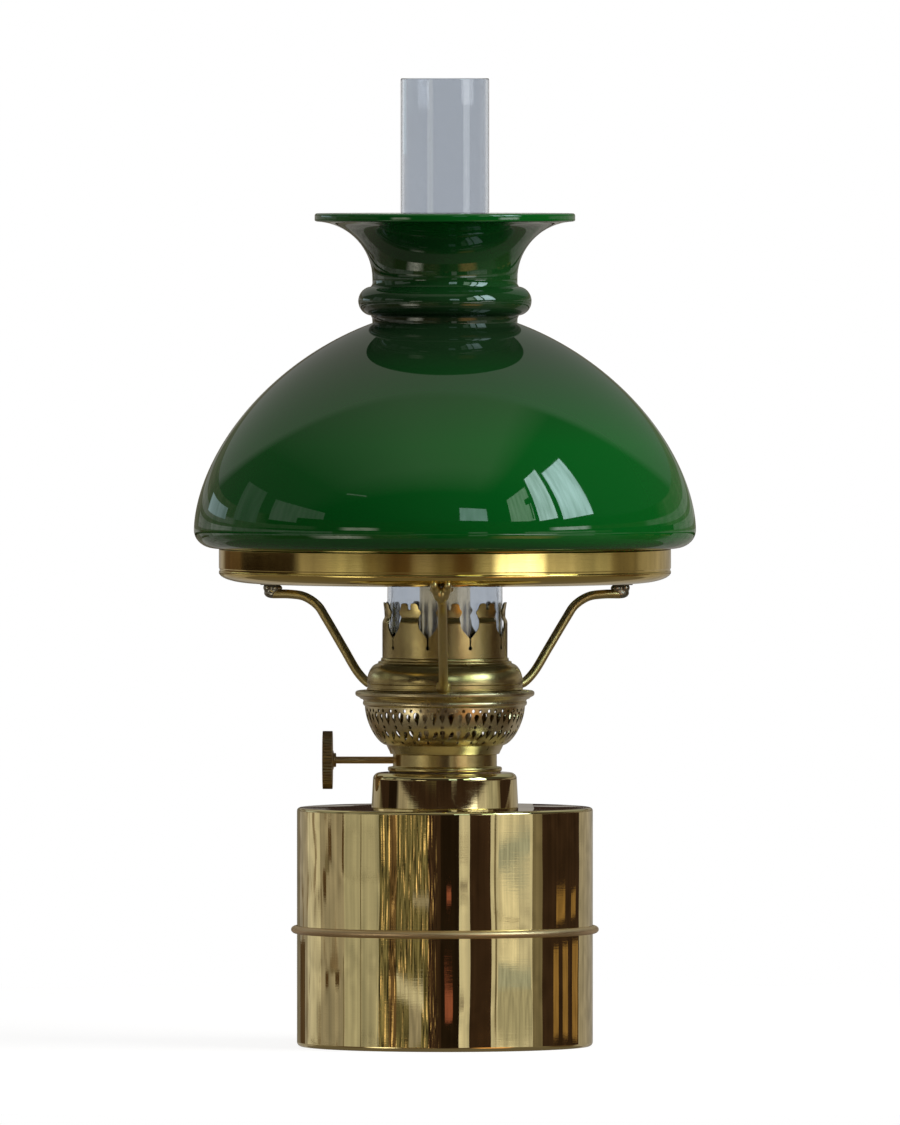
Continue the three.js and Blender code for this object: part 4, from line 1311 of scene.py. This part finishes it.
# Those that the chimney's tube shows
TUBE_UPRIGHTS = [
    (-180, TAN), (-110, DIM), (-60, DARK), (-46, GLARE), (-30, DARK), (50, PANE), (68, BROWN), (105, TAN),
]
# Those between and above them, that the shade shows
DARK_UPRIGHTS = [(-180, DIM), (-90, DARK), (120, DIM)]
# Height where each set of uprights starts and is full, the set, and the blend between its uprights in
# degrees. Below them all, the middle set shows
UPRIGHT_SETS = [
    (-0.1, -0.08, LOW_UPRIGHTS, 0),
    (0.105, 0.12, MIDDLE_UPRIGHTS, 5),
    (0.14, 0.155, HIGH_UPRIGHTS, 3),
    (0.208, 0.214, DARK_UPRIGHTS, 5),
    (0.24, 0.25, LOW_UPRIGHTS, 0),
    (0.32, 0.325, DARK_UPRIGHTS, 5),
    (0.36, 0.365, TUBE_UPRIGHTS, 2),
    (0.44, 0.445, DARK_UPRIGHTS, 5),
]

# Things in front of the wall: first and last angle, lowest and highest level on the lamp that shows them
# (mm), and tone. A later one stands nearer
ROOM_THINGS = [
    (-85, -83, 86.7, 106.5, BROWN),
    (-84, -51, 86.0, 86.9, DIM),
    (-67.2, -66.2, -1.0, 112.0, DIM),
    (-84, -51, 102.6, 103.2, DIM),
    (-84.6, -83.6, -1.0, 50.0, DIM),
    (-66, -51, 10.4, 11.0, BROWN),
    (-66, -51, 4.7, 5.3, BROWN),
    (-107, -103, 66.0, 82.0, BROWN),
    (-104, -99, 80.0, 92.0, DIM),
    (-100, -96, 90.0, 105.0, BROWN),
    (-105, -101, 23.4, 36.5, BROWN),
    (-93, -88.5, 23.4, 37.5, BROWN),
    (-103, -90, 36.0, 38.2, DIM),
    (-126, -112, 7.5, 9.0, DIM),
    (-108, -90, 8.0, 9.2, BROWN),
    (-124, -106, 3.0, 4.2, BROWN),
    (-100, -87, 2.8, 4.0, DIM),
    (-152, -138, -1.0, 48.5, BROWN),
    (-24, -12, 65.0, 72.5, TAN),
    (-36, -16, 25.4, 34.8, PALE),
    (-27, -18, -1.0, 25.4, TAN),
    (1.5, 5, 65.0, 75.4, RED),
    (0, 6, 18.9, 39.2, RED),
    (10.5, 18.5, 103.0, 104.2, BROWN),
    (10.5, 18.5, 68.0, 69.3, BROWN),
    (10.5, 18.5, 62.3, 63.3, DIM),
    (12, 18, 75.0, 84.0, TAN),
    (11, 15, 26.0, 36.0, TAN),
    (39.5, 41, -1.0, 112.0, DIM),
    (43, 69, 88.0, 101.6, SLATE),
    (42, 70, 27.9, 43.7, SLATE),
    (42, 71, -1.0, 27.9, KHAKI),
    (38, 60, 68.0, 69.2, BROWN),
    (46, 66, 59.0, 60.0, DIM),
    (96, 107, 63.0, 79.9, AMBER),
    (115, 122, 61.8, 75.4, AMBER),
    (93, 99, -1.0, 50.1, AMBER),
    (104, 111, -1.0, 50.1, AMBER),
    (117, 126, -1.0, 50.1, AMBER),
    (98, 179, 172, 207, DARK),
    (-179, -98, 172, 207, DARK),
]
ROOM_START_SHARE, ROOM_STEP = 0.95, 0.004


def towards(azimuth, elevation):
    """Unit vector at an angle from the front to +X and at one above the horizon."""
    level = math.cos(elevation)
    return Vector((math.sin(azimuth) * level, -math.cos(azimuth) * level, math.sin(elevation)))


def ramp(tree, around, uprights, blend):
    """Tone by the angle round the lamp, with a blend in degrees where one upright meets the next, or none."""
    node = add(tree, "ShaderNodeValToRGB", {"Fac": ranged(tree, around, -math.pi, math.pi, 0, 1)})
    stops = node.color_ramp.elements
    stops[0].color = uprights[0][1]
    stops[1].position, stops[1].color = 1, uprights[-1][1]
    if not blend:
        node.color_ramp.interpolation = "CONSTANT"
    for (_, before), (start, tone) in zip(uprights, uprights[1:]):
        for degrees, value in ((start - blend, before), (start + blend, tone))[0 if blend else 1:]:
            stops.new((degrees + 180) / 360).color = value
    return node.outputs["Color"]


def between(tree, around, starts, full, fades, ends):
    """1 between two angles round the lamp and 0 outside them, with a slope at each. Angles are in degrees."""
    starts, full, fades, ends = map(math.radians, (starts, full, fades, ends))
    return product(tree, ranged(tree, around, starts, full, 0, 1), ranged(tree, around, fades, ends, 1, 0))


def room_wall(tree):
    """Uprights in sets above each other, broken up by blotches, smears, shelves and glints."""
    x, y, height = parted(tree, own_place(tree))
    around = maths(tree, "ARCTAN2", x, product(tree, y, -1.0))
    tone = ramp(tree, around, MIDDLE_UPRIGHTS, 5)
    for starts, full, uprights, blend in UPRIGHT_SETS:
        risen = ranged(tree, height, starts, full, 0, 1)
        tone = mixed(tree, risen, tone, ramp(tree, around, uprights, blend))

    def patches(across, up, detail, *limits):
        """Noise on the wall unrolled, with so many features to a radian and to a metre up."""
        unrolled = {0: product(tree, around, across), 1: product(tree, height, up)}
        flat = add(tree, "ShaderNodeCombineXYZ", unrolled).outputs[0]
        inputs = {"Vector": flat, "Scale": 1.0, "Detail": detail, "Roughness": 0.55}
        return ranged(tree, add(tree, "ShaderNodeTexNoise", inputs).outputs["Fac"], *limits)

    low_down = ranged(tree, height, 0.1, 0.12, 1, 0)
    broad = patches(14, 5, 4, 0.3, 0.7, 0.76, 1.24)
    blotches = patches(6, 70, 4, 0.3, 0.7, 0.76, 1.22)
    at_the_left = between(tree, around, -155, -145, -92, -84)
    smeared = product(tree, patches(7, 32, 5, 0.54, 0.62, 0, 0.8), at_the_left, low_down)
    busy = product(tree, between(tree, around, -53, -49, -9, -4), low_down)
    shelves = maths(tree, "SUBTRACT", patches(50, 60, 4, 0.36, 0.64, 0.08, 2.3), 1)
    shelved = maths(tree, "ADD", product(tree, busy, shelves), 1)
    glints = product(tree, busy, patches(40, 70, 2, 0.6, 0.68, 0, 0.9))
    inputs = {0: mixed(tree, smeared, tone, SMEAR), 1: scaled(tree, GILT, glints)}
    lit = add(tree, "ShaderNodeVectorMath", inputs, operation="ADD").outputs[0]
    return emission(tree, lit, product(tree, broad, blotches, shelved))


class LAMP_OT_stage(bpy.types.Operator):
    """Sets the camera, the floor, the lights and the surroundings that the brass reflects"""

    bl_idname = "lamp.stage"
    bl_label = "Stage"

    def execute(self, context):
        stage = context.scene.lamp_stage
        self.camera(context, stage)
        self.floor(stage)
        self.wall(stage)
        self.room(stage)
        self.window()
        self.world(context)
        self.lights(context)
        context.scene.view_settings.view_transform = "Standard"
        return {"FINISHED"}

    def camera(self, context, stage):
        data = bpy.data.cameras.new("camera")
        camera = bpy.data.objects.new("camera", data)
        context.scene.collection.objects.link(camera)
        back = towards(stage.azimuth, stage.elevation)
        camera.location = Vector((stage.centre_x, 0, stage.centre_z)) + back * stage.distance
        camera.rotation_euler = (-back).to_track_quat("-Z", "Y").to_euler()
        data.sensor_width = 36
        data.lens = data.sensor_width * stage.distance / stage.image_height
        data.clip_end = 100
        context.scene.camera = camera

    def floor(self, stage):
        """A pale floor that takes shadows, and that the camera sees almost white."""
        def shader(tree):
            surface = add(tree, "ShaderNodeBsdfDiffuse", {"Color": FLOOR_COLOUR}).outputs[0]
            seen = seen_directly(tree, add(tree, "ShaderNodeLightPath"))
            glow = add(tree, "ShaderNodeEmission", {"Strength": product(tree, seen, FLOOR_GLOW)}).outputs[0]
            return add(tree, "ShaderNodeAddShader", {0: surface, 1: glow}).outputs[0]

        deselect()
        bpy.ops.mesh.primitive_circle_add(vertices=128, radius=stage.floor_radius, fill_type="NGON")
        floor = bpy.context.object
        floor.name = "floor"
        floor.data.materials.append(made_once("pale floor", shader))
        floor.visible_glossy = False

    def seen_in_gloss_alone(self, obj, material):
        obj.data.materials.append(material)
        for ray in ("camera", "diffuse", "transmission", "volume_scatter", "shadow"):
            setattr(obj, f"visible_{ray}", False)

    def wall(self, stage):
        """An open drum round the lamp, which only reflections see: the dark and bright uprights of a room."""
        height = 1.2
        deselect()
        bpy.ops.mesh.primitive_cylinder_add(
            vertices=128, radius=stage.wall_radius, depth=height, end_fill_type="NOTHING", location=(0, 0, 0)
        )
        wall = bpy.context.object
        wall.name = "reflected_wall"
        self.seen_in_gloss_alone(wall, made_once("room uprights", room_wall))

    def card(self, name, corners, tone, streaks):
        """A flat four-cornered card that gloss shows in one tone, with soft streaks across it."""
        def shader(tree):
            return emission(tree, tone, ranged(tree, noise(tree, *streaks), 0.3, 0.7, 0.7, 1.2))

        deselect()
        bpy.ops.mesh.primitive_plane_add(size=1)
        card = bpy.context.object
        card.name = name
        for v, corner in zip(card.data.vertices, corners):
            v.co = corner
        light_name = "room light " + "_".join(f"{c:g}" for c in tone[:3])
        self.seen_in_gloss_alone(card, made_once(light_name, shader))

    def room(self, stage):
        """Doors, rails and small things in front of the wall, for the tank to show. They light nothing."""
        lens = stage.centre_z + stage.distance * math.tan(stage.elevation)
        for number, (start, end, low, high, tone) in enumerate(ROOM_THINGS):
            radius = stage.wall_radius * ROOM_START_SHARE - ROOM_STEP * number
            ends = [towards(math.radians(degrees), 0) * radius for degrees in (start, end)]
            levels = [level - (lens - level) * radius / stage.distance for level in (low / 1000, high / 1000)]
            corners = [end + Vector((0, 0, level)) for level in levels for end in ends]
            self.card(f"room_thing_{number}", corners, tone, ROOM_STREAKS)

    def window(self):
        """The bright panes that the shade and the brass show. They light nothing."""
        for name, left, right, low, high, tone in WINDOW_PANES:
            corners = [Vector((*end, level)) for level in (low, high) for end in (left, right)]
            self.card(name, corners, tone, PANE_STREAKS)

    def world(self, context):
        """White for the camera and through glass, a soft fill as light, and a dim room in gloss."""
        world = bpy.data.worlds.new("studio")
        world.use_nodes = True
        context.scene.world = world
        tree = world.node_tree
        tree.nodes.clear()
        x, y, up = parted(tree, add(tree, "ShaderNodeTexCoord").outputs["Generated"])
        bowed = product(tree, x, x, 0.42)
        behind = ranged(tree, maths(tree, "SUBTRACT", product(tree, y, up), bowed), -0.02, 0.035, 0, 1)
        risen = ranged(tree, up, 0.1, 0.9, 0, 1)
        left = mixed(tree, risen, (0.26, 0.25, 0.24, 1), (0.44, 0.46, 0.38, 1))
        right = mixed(tree, risen, (0.14, 0.15, 0.13, 1), (0.42, 0.46, 0.4, 1))
        back = mixed(tree, ranged(tree, x, -0.3, 0.5, 0, 1), left, right)
        raised = maths(tree, "MAXIMUM", up, 0.05)
        across, along = maths(tree, "DIVIDE", x, raised), maths(tree, "DIVIDE", y, raised)
        ceiling = product(
            tree, ranged(tree, across, -1.4, -0.2, 0.15, 1), ranged(tree, across, 0.4, 0.65, 1, 0.1),
            ranged(tree, along, -1.4, -0.8, 0.05, 1),
        )
        front = mixed(tree, ceiling, (0.02, 0.02, 0.015, 1), (0.37, 0.37, 0.3, 1))
        above_floor = ranged(tree, up, -0.25, -0.05, 0, 1)
        tone = mixed(tree, above_floor, (0.13, 0.115, 0.09, 1), mixed(tree, behind, front, back))
        white = (1, 1, 1, 1)
        soft = ranged(tree, up, -0.6, 0.9, 0.14, 0.4)
        gloss, plain, fill = [
            add(tree, "ShaderNodeBackground", {"Color": shown, "Strength": strength}).outputs[0]
            for shown, strength in ((tone, 1.0), (white, 1.0), (white, soft))
        ]
        path = add(tree, "ShaderNodeLightPath")
        glossy = path.outputs["Is Glossy Ray"]
        light = add(tree, "ShaderNodeMixShader", {0: glossy, 1: fill, 2: gloss}).outputs[0]
        both = add(tree, "ShaderNodeMixShader", {0: seen_directly(tree, path), 1: light, 2: plain}).outputs[0]
        add(tree, "ShaderNodeOutputWorld", {"Surface": both})

    def lights(self, context):
        for name, azimuth, elevation, distance, size, power in SOFT_LIGHTS:
            data = bpy.data.lights.new(name, "AREA")
            data.shape, data.size, data.energy = "SQUARE", size, power
            light = bpy.data.objects.new(name, data)
            light.visible_glossy = False
            context.scene.collection.objects.link(light)
            direction = towards(math.radians(azimuth), math.radians(elevation))
            light.location = LIGHTS_LOOK_AT + direction * distance
            light.rotation_euler = direction.to_track_quat("Z", "Y").to_euler()


class LAMP_PT_panel(bpy.types.Panel):
    """Lists the lamp's sizes, colours and the operators that model it"""

    bl_idname = "LAMP_PT_panel"
    bl_label = "Kerosene Table Lamp"
    bl_space_type = "VIEW_3D"
    bl_region_type = "UI"
    bl_category = "Lamp"

    def draw(self, context):
        for group_name in GROUPS:
            group = getattr(context.scene, group_name)
            for name in group.__annotations__:
                self.layout.prop(group, name)
        for operator in OPERATORS:
            self.layout.operator(operator.bl_idname)


GROUPS = {"lamp_sizes": LampSizes, "lamp_colours": LampColours, "lamp_stage": LampStage}
OPERATORS = (
    LAMP_OT_stage,
    LAMP_OT_tank,
    LAMP_OT_collar,
    LAMP_OT_burner_base,
    LAMP_OT_air_basket,
    LAMP_OT_wick_tubes,
    LAMP_OT_wick,
    LAMP_OT_winder,
    LAMP_OT_gallery,
    LAMP_OT_crown,
    LAMP_OT_holder,
    LAMP_OT_shade,
    LAMP_OT_chimney,
)
CLASSES = (*GROUPS.values(), *OPERATORS, LAMP_PT_panel)


def register():
    for item in CLASSES:
        bpy.utils.register_class(item)
    for name, group in GROUPS.items():
        setattr(bpy.types.Scene, name, PointerProperty(type=group))


def unregister():
    for name in GROUPS:
        delattr(bpy.types.Scene, name)
    for item in reversed(CLASSES):
        bpy.utils.unregister_class(item)


def main():
    register()
    for operator in OPERATORS:
        module, name = operator.bl_idname.split(".")
        getattr(getattr(bpy.ops, module), name)()
    deselect()


if __name__ == "__main__":
    main()
